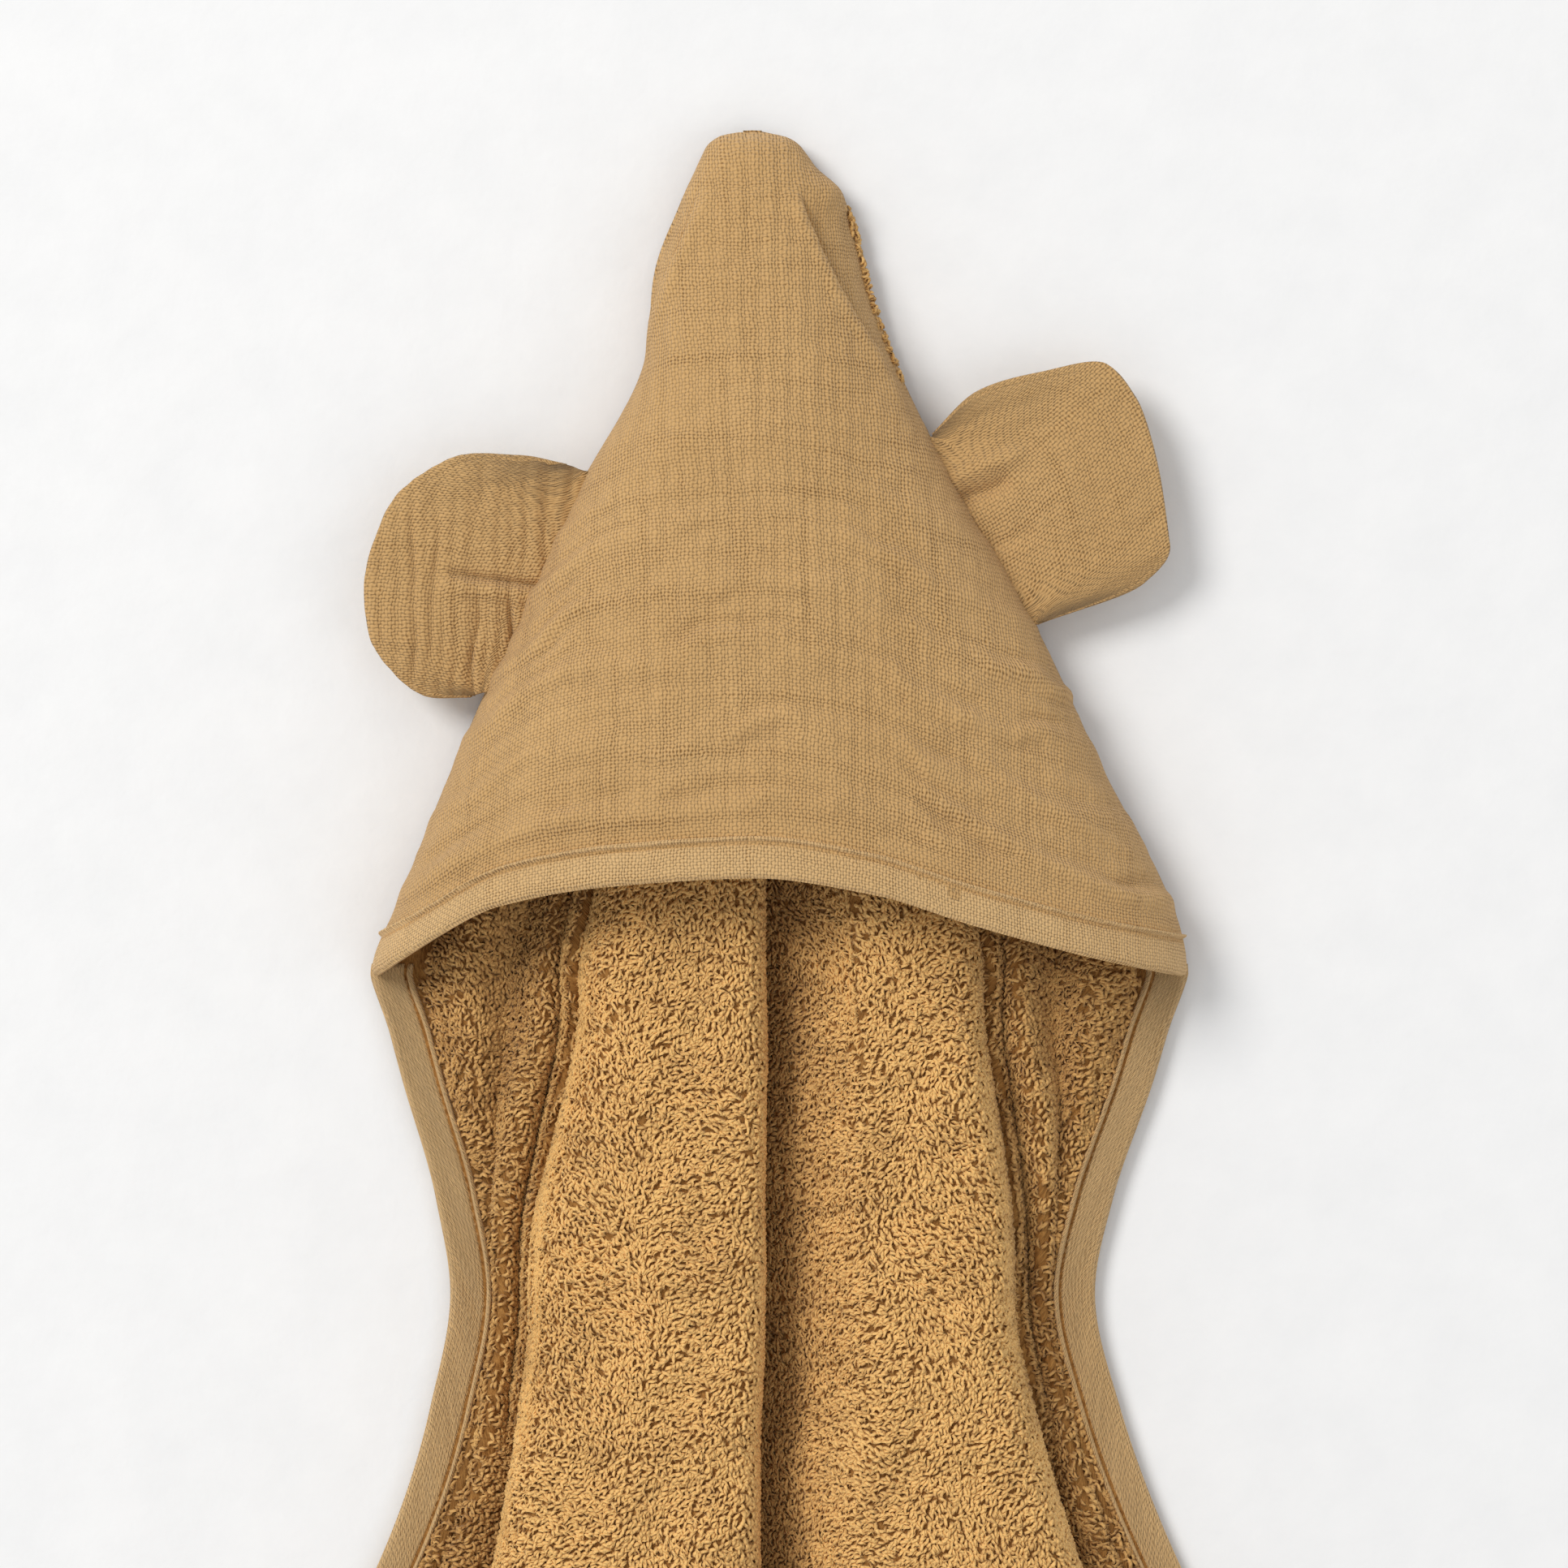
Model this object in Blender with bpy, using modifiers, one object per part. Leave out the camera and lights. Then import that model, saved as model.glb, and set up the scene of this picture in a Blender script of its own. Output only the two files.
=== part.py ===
"""Hooded baby towel, laid on its back with the hood spread: +Y to the hood's tip, +Z up.

Distances named "down" run along the towel from the hood's tip to its bottom corner, in metres.
"""
import bmesh
import bpy
import numpy as np
from mathutils import Vector

# Driving dimensions, in metres.
LAID_LENGTH = 1.040          # hood tip to bottom corner
SPREAD_HALF_WIDTH = 0.300    # centre line to a side corner
SIDE_CORNER_DOWN = 0.660     # where the side corners lie
HOOD_HALF_WIDTH = 0.1205     # half of the hood's mouth
HOOD_DOWN = 0.2505           # hood tip to the mouth's corners
MOUTH_TOP_DOWN = 0.2208      # hood tip to the middle of the mouth's edge
HOOD_RISE = 0.056            # height of the hood's arch at its mouth
WAIST_HALF_WIDTH = 0.096     # where the sides pinch in
WAIST_DOWN = 0.345
WAIST_LEAN = 0.002           # the waist lies a little to the left
WAIST_REACH = 0.050
FOLD_DOWN = 0.322            # the line that the hooded end folds up on
BINDING_WIDTH = 0.013
ROLL_HEIGHT = 0.028          # the two long rolls of the terry
VALLEY_HALF_WIDTH = 0.0065   # between the two rolls, at the neck
ROLL_SHOULDER = 0.010        # how far a roll takes to round over
TERRY_THICKNESS = 0.003
MUSLIN_THICKNESS = 0.0016
LINING_THICKNESS = 0.0024
BINDING_THICKNESS = 0.005
EAR_LAYER_THICKNESS = 0.0012
THREAD_RADIUS = 0.0003

CLEARANCE = 0.0004           # between pieces that are sewn face to face
HEM_CLEARANCE = TERRY_THICKNESS / 2 + 0.0009   # between terry and binding across the pleats
JOINT_CLEARANCE = 0.0009     # between bindings that part when the hood lifts
TERRY_CLEARANCE = 0.0025     # between the terry's two ends there
EAR_CLEARANCE = 0.0008       # between an ear and the hood's wall
BINDING_SINK = 0.0010        # the band's middle lies inside the muslin's
SEAM_HEIGHT = BINDING_THICKNESS / 2 + TERRY_THICKNESS / 2 + 0.0006   # the hood front's lower rim
EAR_HEIGHT = 0.012           # the ear hinges above the floor
EAR_CAMBER = 0.004
VALLEY_MIDDLE = 0.0005       # the lowest line of the valley, from the centre line
MOST_BOUND_SHARE = 0.2       # of the half width that the binding takes where the hood narrows
MITRE_STRETCH = 1.35         # the hem crosses the rows on a slant
MITRE_GAP_LINES = 0.03       # between the two bindings at the bottom corner, in lines
HEM_ROUNDING = 0.06          # how round the bottom corner is cut
TIP_OFFSET = -0.008          # the hood's tip lies a little to one side
LEAST_REACH = 0.002          # the hood's narrowest half width
ARCH_FULLNESS = 0.8          # below 1 the hood's arch is fuller than a sine
FRONT_START = 0.0005
LINING_START = 0.026         # the lining stops short of the tip's seam allowance
TIP_FOLD = 0.014             # the terry's point is trimmed off inside the tip

# Lines along the terry from an edge to the middle, counted across the towel.
CENTRE_LINE = 13
LAST_LINE = 2 * CENTRE_LINE
NECK_DOWN = HOOD_DOWN + 0.0005
STITCH_SHARE = 0.81          # where a seam runs across its binding, from the outside
PLEATED_LIFT = 0.0019        # a side seam's thread over its band, clear of the pleats beside it

# Facets, shared by pieces that meet so that their edges run together.
HEM_STEPS = 2 * CENTRE_LINE - 2
SIDE_STEPS = 17
BINDING_STEPS = 2 * HEM_STEPS + SIDE_STEPS
HOOD_COLUMNS = 20
ROW_SPREAD = 1.25            # the hood's rows are closer together towards its tip

FLOOR_LEVEL = TERRY_THICKNESS / 2
EDGE_LEVEL = BINDING_THICKNESS / 2

COLLECTION_NAME = "hooded_baby_towel"


def along(down):
    """The Y of a distance down the towel."""
    return LAID_LENGTH / 2 - down


def smooth_curve(at, places, values):
    """A curve through the values with no overshoot, at one place or at an array of them."""
    places = np.asarray(places, float)
    values = np.asarray(values, float)
    steps = np.diff(places)
    slopes = np.diff(values) / steps
    tangents = np.zeros(len(places))
    same_way = slopes[:-1] * slopes[1:] > 0
    mean = 2 * slopes[:-1] * slopes[1:] / np.where(same_way, slopes[:-1] + slopes[1:], 1)
    tangents[1:-1] = np.where(same_way, mean, 0)
    tangents[0] = slopes[0]
    tangents[-1] = slopes[-1]
    at = np.clip(np.asarray(at, float), places[0], places[-1])
    cell = np.clip(np.searchsorted(places, at, side="right") - 1, 0, len(steps) - 1)
    share = (at - places[cell]) / steps[cell]
    rise = share * share * (3 - 2 * share)
    start_lean = share * (1 - share) ** 2 * steps[cell] * tangents[cell]
    end_lean = share * share * (share - 1) * steps[cell] * tangents[cell + 1]
    return values[cell] * (1 - rise) + values[cell + 1] * rise + start_lean + end_lean


def hood_side(down, side):
    """The hood's half width from its own middle, -1 for the left side and +1 for the right."""
    if side < 0:
        places = (0.0, 0.012, 0.040, 0.172, 0.260, 0.423, 0.663, 0.910, 1.0, 1.2)
        shares = (0.075, 0.095, 0.135, 0.262, 0.287, 0.472, 0.719, 0.932, 1.0, 1.0)
    else:
        places = (0.0, 0.012, 0.040, 0.072, 0.212, 0.355, 0.579, 0.727, 1.0, 1.2)
        shares = (0.075, 0.095, 0.145, 0.215, 0.292, 0.385, 0.622, 0.765, 1.0, 1.0)
    return HOOD_HALF_WIDTH * smooth_curve(np.asarray(down) / HOOD_DOWN, places, shares)


def hood_middle(down):
    """The X of the hood's own middle line, which leans towards its tip."""
    leans = (TIP_OFFSET, TIP_OFFSET / 2, 0.0, 0.0)
    return smooth_curve(np.asarray(down) / HOOD_DOWN, (0.0, 0.28, 0.64, 1.0), leans)


def hood_height(down):
    """The hood's arch above its seams."""
    places = (0.0, 0.016, 0.048, 0.16, 0.32, 0.56, 0.80, 0.94, 1.08)
    shares = (0.0, 0.16, 0.25, 0.39, 0.55, 0.75, 0.89, 0.96, 1.0)
    return HOOD_RISE * smooth_curve(np.asarray(down) / HOOD_DOWN, places, shares)


def towel_edge(down, side):
    """The half width of the laid towel."""
    spread = SPREAD_HALF_WIDTH
    above_waist = np.array((0.0, 0.323, 0.704, 1.0))
    below_waist = np.array((0.108, 0.254, 0.587, 0.873, 1.0))
    places = (
        *(HOOD_DOWN + (WAIST_DOWN - HOOD_DOWN) * above_waist),
        *(WAIST_DOWN + (SIDE_CORNER_DOWN - WAIST_DOWN) * below_waist),
        LAID_LENGTH,
    )
    lean = WAIST_LEAN * np.exp(-(((np.asarray(down) - WAIST_DOWN) / WAIST_REACH) ** 2))
    widths = (
        HOOD_HALF_WIDTH,
        HOOD_HALF_WIDTH * 0.93,
        WAIST_HALF_WIDTH * 1.05,
        WAIST_HALF_WIDTH,
        WAIST_HALF_WIDTH * 1.07,
        WAIST_HALF_WIDTH * 1.24,
        spread * 0.61,
        spread * 0.90,
        spread,
        spread * 1.40,
    )
    below = smooth_curve(down, places, widths) - side * lean
    above = hood_side(down, side) + side * hood_middle(down)
    return np.where(np.asarray(down) < HOOD_DOWN, above, below)


def body_places(hood, waist, spread, hem):
    """Distances down from shares of the hood, of hood to waist, of waist to side corners, and below."""
    return (
        *(HOOD_DOWN * share for share in hood),
        *(HOOD_DOWN + (WAIST_DOWN - HOOD_DOWN) * share for share in waist),
        *(WAIST_DOWN + (SIDE_CORNER_DOWN - WAIST_DOWN) * share for share in spread),
        *(SIDE_CORNER_DOWN + (LAID_LENGTH - SIDE_CORNER_DOWN) * share for share in hem),
    )


def roll_outside(down, side):
    """The outer edge of a long roll, from the middle of the towel."""
    places = body_places((0.0, 0.26, 0.48, 0.72, 1.0), (1.0,), (0.25, 0.68, 1.0), (1.0,))
    if side < 0:
        shares = (0.44, 0.46, 0.46, 0.47, 0.474, 0.720, 0.690, 0.506, 0.433, 0.405)
    else:
        shares = (0.44, 0.46, 0.46, 0.47, 0.482, 0.715, 0.731, 0.534, 0.460, 0.424)
    return towel_edge(down, side) * smooth_curve(down, places, shares)


def roll_inside(down, side):
    """The inner edge of a long roll, at the valley between the two."""
    reach = VALLEY_HALF_WIDTH * (0.92 if side < 0 else 1.08)
    places = body_places((0.0, 0.26, 0.60), (), (), (1.0,))
    return smooth_curve(down, places, (reach * 0.15, reach * 0.6, reach, reach * 2))


def roll_height(down):
    places = body_places((0.0, 0.32, 0.56, 0.80, 1.0), (1.0,), (0.68,), (0.21, 0.71, 1.0))
    shares = (0.0, 0.06, 0.30, 0.72, 0.88, 1.0, 1.15, 1.38, 1.20, 0.75)
    return ROLL_HEIGHT * smooth_curve(down, places, shares)


def roll_split(down):
    """How deep a furrow divides each roll in two, as a share of its height."""
    places = body_places((0.0,), (), (0.333, 0.683), (0.105, 1.0))
    return smooth_curve(down, places, (0.0, 0.0, 0.42, 0.88, 0.94))


def ridge_share(down):
    """How far the small pleat lies from the roll towards the binding."""
    places = body_places((0.0, 0.96), (0.524, 1.0), (0.175, 0.683), (1.0,))
    return smooth_curve(down, places, (0.3, 0.18, 0.45, 0.72, 0.58, 0.46, 0.42))


def ridge_height(down):
    places = body_places((0.0, 0.72, 1.0), (1.0,), (0.27, 0.81), (0.37, 1.0))
    shares = (0.0, 0.15, 0.36, 0.20, 0.22, 1.15, 1.38, 0.75)
    return ROLL_HEIGHT * smooth_curve(down, places, shares)


def strip_height(down):
    """The crown of the strip between the small pleat and the binding."""
    places = body_places((0.0, 0.80, 1.0), (0.63,), (0.175, 0.683, 1.0), (1.0,))
    shares = (0.0, 0.10, 0.22, 0.03, 0.06, 0.78, 1.15, 0.60)
    return ROLL_HEIGHT * smooth_curve(down, places, shares)


def side_lines(down, side):
    """The lines of one half, from its edge inwards, as distances from the middle and heights."""
    edge = towel_edge(down, side)
    bound = edge - np.minimum(BINDING_WIDTH, edge * MOST_BOUND_SHARE)
    outside = roll_outside(down, side)
    inside = roll_inside(down, side)
    height = roll_height(down)
    ridge = outside + (bound - outside) * ridge_share(down)
    foot = ridge + (bound - ridge) * 0.34
    shoulder = np.minimum(ROLL_SHOULDER, (outside - inside) * 0.25)
    flat = np.full_like(edge, EDGE_LEVEL)
    low = np.full_like(edge, FLOOR_LEVEL)
    return (
        (edge, flat),
        (bound, flat),
        ((bound + foot) / 2, flat + strip_height(down)),
        (foot, low),
        (ridge, low + ridge_height(down)),
        ((ridge + outside) / 2, low),
        (outside, low + height * 0.30),
        (outside - shoulder, low + height * 0.84),
        (inside + (outside - inside) * 0.68, low + height * 0.98),
        ((outside + inside) / 2, low + height * (1 - roll_split(down))),
        (inside + (outside - inside) * 0.32, low + height * 0.98),
        (inside + shoulder, low + height * 0.88),
        (inside, low + height * 0.40),
    )


def terry_point(line, down):
    """Points on the middle of the terry, by line across (0 to LAST_LINE) and distance down."""
    line, down = np.broadcast_arrays(np.asarray(line, float), np.asarray(down, float))
    left = [(-x, z) for x, z in side_lines(down, -1)]
    right = [(x, z) for x, z in side_lines(down, 1)][::-1]
    middle = (np.full_like(down, VALLEY_MIDDLE), np.full_like(down, FLOOR_LEVEL))
    lines = left + [middle] + right
    across = np.stack([x for x, _ in lines])
    heights = np.stack([z for _, z in lines])
    cell = np.clip(np.floor(line).astype(int), 0, LAST_LINE - 1)
    share = line - cell
    straight = (cell == 0) | (cell == LAST_LINE - 1)

    def blended(values):
        def pick(index):
            index = np.clip(index, 0, LAST_LINE)
            return np.take_along_axis(values, index[None], axis=0)[0]

        before, start, end, after = (pick(cell + k) for k in (-1, 0, 1, 2))
        start_lean = (end - before) / 2
        end_lean = (after - start) / 2
        rise = share * share * (3 - 2 * share)
        curved = start * (1 - rise) + end * rise
        curved = curved + share * (1 - share) ** 2 * start_lean
        curved = curved + share * share * (share - 1) * end_lean
        return np.where(straight, start + (end - start) * share, curved)

    heights_there = np.maximum(blended(heights), FLOOR_LEVEL)
    return np.stack([blended(across), along(down), heights_there], axis=-1)


def hem_down(line):
    """Where the hem cuts each line: the cloth's edge runs evenly with the width gathered."""
    reference = np.linspace(0, LAST_LINE, 40 * LAST_LINE + 1)
    points = terry_point(reference, (SIDE_CORNER_DOWN + LAID_LENGTH) / 2)
    lengths = np.linalg.norm(np.diff(points, axis=0), axis=1)
    travelled = np.concatenate([[0], np.cumsum(lengths)])
    middle = np.interp(CENTRE_LINE, reference, travelled)
    half = np.where(np.asarray(line) < CENTRE_LINE, middle, travelled[-1] - middle)
    share = np.abs(np.interp(line, reference, travelled) - middle) / half
    rounding = HEM_ROUNDING
    eased = (np.sqrt(share**2 + rounding**2) - rounding) / (np.sqrt(1 + rounding**2) - rounding)
    return LAID_LENGTH - (LAID_LENGTH - SIDE_CORNER_DOWN) * eased


def hood_point(turn, down, inset=0.0):
    """Points on the hood's arch. turn is 0 on the left seam, 0.5 on top and 1 on the right seam."""
    turn, down = np.broadcast_arrays(np.asarray(turn, float), np.asarray(down, float))
    angle = np.pi * turn
    reach = np.where(turn < 0.5, hood_side(down, -1), hood_side(down, 1)) - inset
    across = hood_middle(down) - np.cos(angle) * np.maximum(reach, LEAST_REACH)
    rise = np.maximum(hood_height(down) - inset, 0.0) * np.sin(angle) ** ARCH_FULLNESS
    return np.stack([across, along(down), SEAM_HEIGHT + rise], axis=-1)


def mouth_down(turn):
    """The hood's free edge, which arches up between its corners."""
    drop = HOOD_DOWN - MOUTH_TOP_DOWN
    places = (-1.0, -0.73, -0.44, -0.06, 0.24, 0.48, 0.76, 1.0)
    shares = (1.0, 0.28, 0.08, 0.0, 0.16, 0.46, 0.78, 1.0)
    return MOUTH_TOP_DOWN + drop * smooth_curve(-np.cos(np.pi * np.asarray(turn)), places, shares)


def finish(name, colour, roughness):
    material = bpy.data.materials.new(name)
    material.use_nodes = True
    shader = material.node_tree.nodes["Principled BSDF"]
    shader.inputs["Base Color"].default_value = (*colour, 1.0)
    shader.inputs["Roughness"].default_value = roughness
    shader.inputs["Metallic"].default_value = 0.0
    return material


def put(obj, material, collection, hinge=None):
    """Gives a new object its material and collection, and its origin on its hinge."""
    for old in list(obj.users_collection):
        old.objects.unlink(obj)
    collection.objects.link(obj)
    obj.data.materials.clear()
    obj.data.materials.append(material)
    if hinge is not None:
        obj.parent = hinge
    return obj


def cloth(name, surface, columns, rows, thickness, material, collection, hinge=None, base=(0, 0, 0)):
    """A grid laid over surface(across, along), each from 0 to 1, and thickened both ways."""
    mesh = bpy.data.meshes.new(name)
    grid = bmesh.new()
    bmesh.ops.create_grid(grid, x_segments=columns, y_segments=rows, size=0.5)
    shares = np.array([(v.co.x + 0.5, v.co.y + 0.5) for v in grid.verts])
    points = surface(shares[:, 0], shares[:, 1])
    for vertex, point in zip(grid.verts, points):
        vertex.co = Vector(point) - Vector(base)
    grid.to_mesh(mesh)
    grid.free()
    mesh.shade_smooth()
    obj = bpy.data.objects.new(name, mesh)
    shell = obj.modifiers.new("thickness", "SOLIDIFY")
    shell.thickness = thickness
    shell.offset = 0.0
    return put(obj, material, collection, hinge)


def thread(name, points, material, collection, hinge=None, base=(0, 0, 0)):
    """One continuous sewing thread along the points."""
    curve = bpy.data.curves.new(name, "CURVE")
    curve.dimensions = "3D"
    curve.bevel_depth = THREAD_RADIUS
    curve.bevel_resolution = 0
    curve.use_fill_caps = True
    spline = curve.splines.new("POLY")
    spline.points.add(len(points) - 1)
    for slot, point in zip(spline.points, points):
        slot.co = (*(Vector(point) - Vector(base)), 1.0)
    return put(bpy.data.objects.new(name, curve), material, collection, hinge)


def hinge_empty(name, place, collection):
    empty = bpy.data.objects.new(name, None)
    empty.empty_display_size = 0.03
    empty.location = place
    collection.objects.link(empty)
    return empty


def terry_body(material, collection):
    """The cloth below the neck, inside its binding."""
    faded_lines = 2.5

    def surface(across, lengthwise):
        line = 1 + (LAST_LINE - 2) * across
        start = NECK_DOWN + TERRY_CLEARANCE / 2
        end = hem_down(line) - BINDING_WIDTH * MITRE_STRETCH - HEM_CLEARANCE
        points = terry_point(line, start + (end - start) * lengthwise)
        lines_inside = np.minimum(line, LAST_LINE - line) - 1
        pull = HEM_CLEARANCE * np.clip(1 - lines_inside / faded_lines, 0, 1)
        points[..., 0] -= np.sign(points[..., 0]) * pull
        return points

    cloth("terry_body", surface, 2 * HEM_STEPS, SIDE_STEPS, TERRY_THICKNESS, material, collection)


def terry_hood(material, collection, hinge, base):
    """The same cloth behind the hood, out to the hood's seams."""

    def surface(across, lengthwise):
        start = TIP_FOLD
        end = NECK_DOWN - TERRY_CLEARANCE / 2
        return terry_point(LAST_LINE * across, start + (end - start) * lengthwise)

    cloth(
        "terry_hood", surface, 2 * CENTRE_LINE, 9, TERRY_THICKNESS,
        material, collection, hinge, base,
    )


def hood_layers(muslin, terry, collection, hinge, base):
    """The hood's muslin front and, inside it, its terry lining."""

    def front(across, lengthwise):
        end = mouth_down(across) - BINDING_WIDTH - CLEARANCE
        return hood_point(across, FRONT_START + (end - FRONT_START) * lengthwise**ROW_SPREAD)

    between = (MUSLIN_THICKNESS + LINING_THICKNESS) / 2 + CLEARANCE * 3

    def lining(across, lengthwise):
        start = LINING_START
        end = mouth_down(across) - BINDING_WIDTH - CLEARANCE
        return hood_point(across, start + (end - start) * lengthwise**ROW_SPREAD, between)

    cloth("hood_front", front, HOOD_COLUMNS, 12, MUSLIN_THICKNESS, muslin, collection, hinge, base)
    cloth("hood_lining", lining, HOOD_COLUMNS, 11, LINING_THICKNESS, terry, collection, hinge, base)


def hood_edge_binding(material, collection, hinge, base):
    """The band that wraps both layers along the hood's mouth."""
    width = BINDING_WIDTH - CLEARANCE

    def surface(across, lengthwise):
        inwards = np.interp(lengthwise, (0.0, 0.5, 1.0), (1.0, STITCH_SHARE, 0.0))
        return hood_point(across, mouth_down(across) - width * inwards, BINDING_SINK)

    return cloth(
        "hood_edge_binding", surface, HOOD_COLUMNS, 2, BINDING_THICKNESS,
        material, collection, hinge, base,
    )


def binding_path(share, across, side):
    """Lines and distances down along one half's binding, 0 at the neck and 1 at the bottom corner."""
    corner = SIDE_STEPS / BINDING_STEPS
    start = HOOD_DOWN + JOINT_CLEARANCE
    down_side = np.clip(share / corner, 0, 1)
    along_hem = np.clip((share - corner) / (1 - corner), 0, 1)
    line = across + (CENTRE_LINE - MITRE_GAP_LINES - across) * along_hem
    hem = hem_down(line) - across * BINDING_WIDTH * MITRE_STRETCH
    down = np.where(share < corner, start + (hem - start) * down_side, hem)
    return np.where(side < 0, line, LAST_LINE - line), down


def side_binding(name, side, material, collection):
    """The binding of one half: down the side, round the corner and along the hem."""

    def surface(lengthwise, across):
        seam_first = np.interp(across, (0.0, 0.5, 1.0), (0.0, STITCH_SHARE, 1.0))
        line, down = binding_path(lengthwise, seam_first, side)
        points = terry_point(line, down)
        points[..., 2] = np.maximum(points[..., 2], EDGE_LEVEL)
        return points

    return cloth(name, surface, BINDING_STEPS, 2, BINDING_THICKNESS, material, collection)


def seam_thread(name, band, lift, material, collection, hinge=None, base=(0, 0, 0)):
    """A thread along a band's middle row of points, lifted off its upper face."""
    steps = len(band.data.vertices) // 3
    row = list(band.data.vertices)[steps : 2 * steps]
    up = 1.0 if sum(vertex.normal.z for vertex in row) > 0 else -1.0
    rise = up * (BINDING_THICKNESS / 2 + THREAD_RADIUS + lift)
    points = [vertex.co + Vector(base) + vertex.normal * rise for vertex in row]
    thread(name, points[1:-1], material, collection, hinge, base)


def ear_root(side, share):
    """The line on the hood's side seam that an ear is sewn into."""
    first, last = (0.403, 0.663) if side < 0 else (0.363, 0.583)
    down = HOOD_DOWN * (first + (last - first) * share)
    climbed = ((EAR_HEIGHT - SEAM_HEIGHT) / hood_height(down)) ** (1 / ARCH_FULLNESS)
    wall = hood_side(down, side) * np.sqrt(1 - climbed**2)
    across = hood_middle(down) + side * (wall + MUSLIN_THICKNESS / 2 + EAR_CLEARANCE)
    return np.stack([across, along(down), np.full_like(across, EAR_HEIGHT)], axis=-1)


def ear_rim(side, share):
    """The ear's outline, from one end of its root round to the other, measured from the root."""
    places = np.linspace(0, 1, 9)
    if side < 0:
        out = (0.0063, 0.0163, 0.0326, 0.0448, 0.0495, 0.0443, 0.0335, 0.0217, 0.0040)
        drop = (-0.0020, -0.0126, -0.0197, -0.0164, -0.0025, 0.0084, 0.0107, 0.0086, 0.0012)
    else:
        out = (0.0002, 0.0099, 0.0241, 0.0402, 0.0446, 0.0474, 0.0464, 0.0350, 0.0002)
        drop = (-0.0010, -0.0204, -0.0328, -0.0421, -0.0390, -0.0234, -0.0102, -0.0056, -0.0005)
    root = ear_root(side, share)
    x = root[..., 0] + side * smooth_curve(share, places, out)
    y = root[..., 1] - smooth_curve(share, places, drop)
    return np.stack([x, y, np.full_like(x, EAR_HEIGHT)], axis=-1)


def ear_layer(name, side, level, material, collection, hinge, base):
    """One muslin layer of an ear, cambered over its length."""

    def surface(across, outward):
        root = ear_root(side, across)
        rim = ear_rim(side, across)
        points = root + (rim - root) * outward[:, None]
        camber = EAR_CAMBER * np.sin(np.pi * across) * np.sin(np.pi * outward * 0.6)
        points[:, 2] += level + camber
        return points

    cloth(name, surface, 10, 6, EAR_LAYER_THICKNESS, material, collection, hinge, base)


def ear(name, side, material, collection, parent, parent_place):
    """Both layers of an ear on a hinge along its root."""
    place = Vector(ear_root(side, np.array([0.5]))[0])
    place.z += EAR_LAYER_THICKNESS + CLEARANCE / 2
    hinge = hinge_empty(name + "_hinge", place - Vector(parent_place), collection)
    hinge.parent = parent
    level = EAR_LAYER_THICKNESS / 2 + CLEARANCE / 2
    ear_layer(name + "_front", side, level, material, collection, hinge, place)
    ear_layer(name + "_back", side, -level, material, collection, hinge, place)


def clear_scene():
    for obj in list(bpy.data.objects):
        bpy.data.objects.remove(obj, do_unlink=True)
    for material in list(bpy.data.materials):
        bpy.data.materials.remove(material)


def main():
    clear_scene()
    collection = bpy.data.collections.new(COLLECTION_NAME)
    bpy.context.scene.collection.children.link(collection)
    terry = finish("caramel_terry", (0.545, 0.315, 0.110), 0.95)
    muslin = finish("caramel_muslin", (0.610, 0.375, 0.150), 0.90)
    binding = finish("caramel_binding", (0.640, 0.400, 0.170), 0.88)
    sewing = finish("caramel_thread", (0.500, 0.290, 0.100), 0.70)

    fold_place = (0.0, along(FOLD_DOWN), FLOOR_LEVEL)
    fold = hinge_empty("hood_fold", fold_place, collection)
    terry_body(terry, collection)
    for name, side in (("left", -1), ("right", 1)):
        band = side_binding("binding_" + name, side, binding, collection)
        seam_thread("stitch_" + name, band, PLEATED_LIFT, sewing, collection)
    terry_hood(terry, collection, fold, fold_place)
    hood_layers(muslin, terry, collection, fold, fold_place)
    band = hood_edge_binding(binding, collection, fold, fold_place)
    seam_thread("stitch_hood_edge", band, CLEARANCE, sewing, collection, fold, fold_place)
    ear("ear_left", -1, muslin, collection, fold, fold_place)
    ear("ear_right", 1, muslin, collection, fold, fold_place)


main()
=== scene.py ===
"""Hooded baby towel as it is seen: terry, double-gauze muslin, bindings, stitches and ears.

Distances named "down" run along the towel from the hood's tip to its bottom corner, in metres.
"""

import bpy
import numpy as np
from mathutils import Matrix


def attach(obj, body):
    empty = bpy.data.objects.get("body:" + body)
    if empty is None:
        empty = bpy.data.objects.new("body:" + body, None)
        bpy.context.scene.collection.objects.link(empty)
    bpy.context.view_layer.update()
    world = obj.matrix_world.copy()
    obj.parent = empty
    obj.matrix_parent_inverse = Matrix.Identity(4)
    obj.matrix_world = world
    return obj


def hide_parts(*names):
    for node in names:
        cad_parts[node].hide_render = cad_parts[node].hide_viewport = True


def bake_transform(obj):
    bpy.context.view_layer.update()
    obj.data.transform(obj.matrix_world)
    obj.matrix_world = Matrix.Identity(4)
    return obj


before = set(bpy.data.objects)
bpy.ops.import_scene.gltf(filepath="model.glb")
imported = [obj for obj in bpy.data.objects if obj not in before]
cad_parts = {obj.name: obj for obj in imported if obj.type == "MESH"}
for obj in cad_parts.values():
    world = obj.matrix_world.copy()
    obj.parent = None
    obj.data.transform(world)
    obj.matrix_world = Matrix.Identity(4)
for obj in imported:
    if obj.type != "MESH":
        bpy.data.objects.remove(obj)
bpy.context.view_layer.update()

# The towel's driving dimensions, in metres.
LAID_LENGTH = 1.040          # hood tip to bottom corner
SPREAD_HALF_WIDTH = 0.300    # centre line to a side corner
SIDE_CORNER_DOWN = 0.660     # where the side corners lie
HOOD_HALF_WIDTH = 0.1205     # half of the hood's mouth
HOOD_DOWN = 0.2505           # hood tip to the mouth's corners
MOUTH_TOP_DOWN = 0.2208      # hood tip to the middle of the mouth's edge
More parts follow.
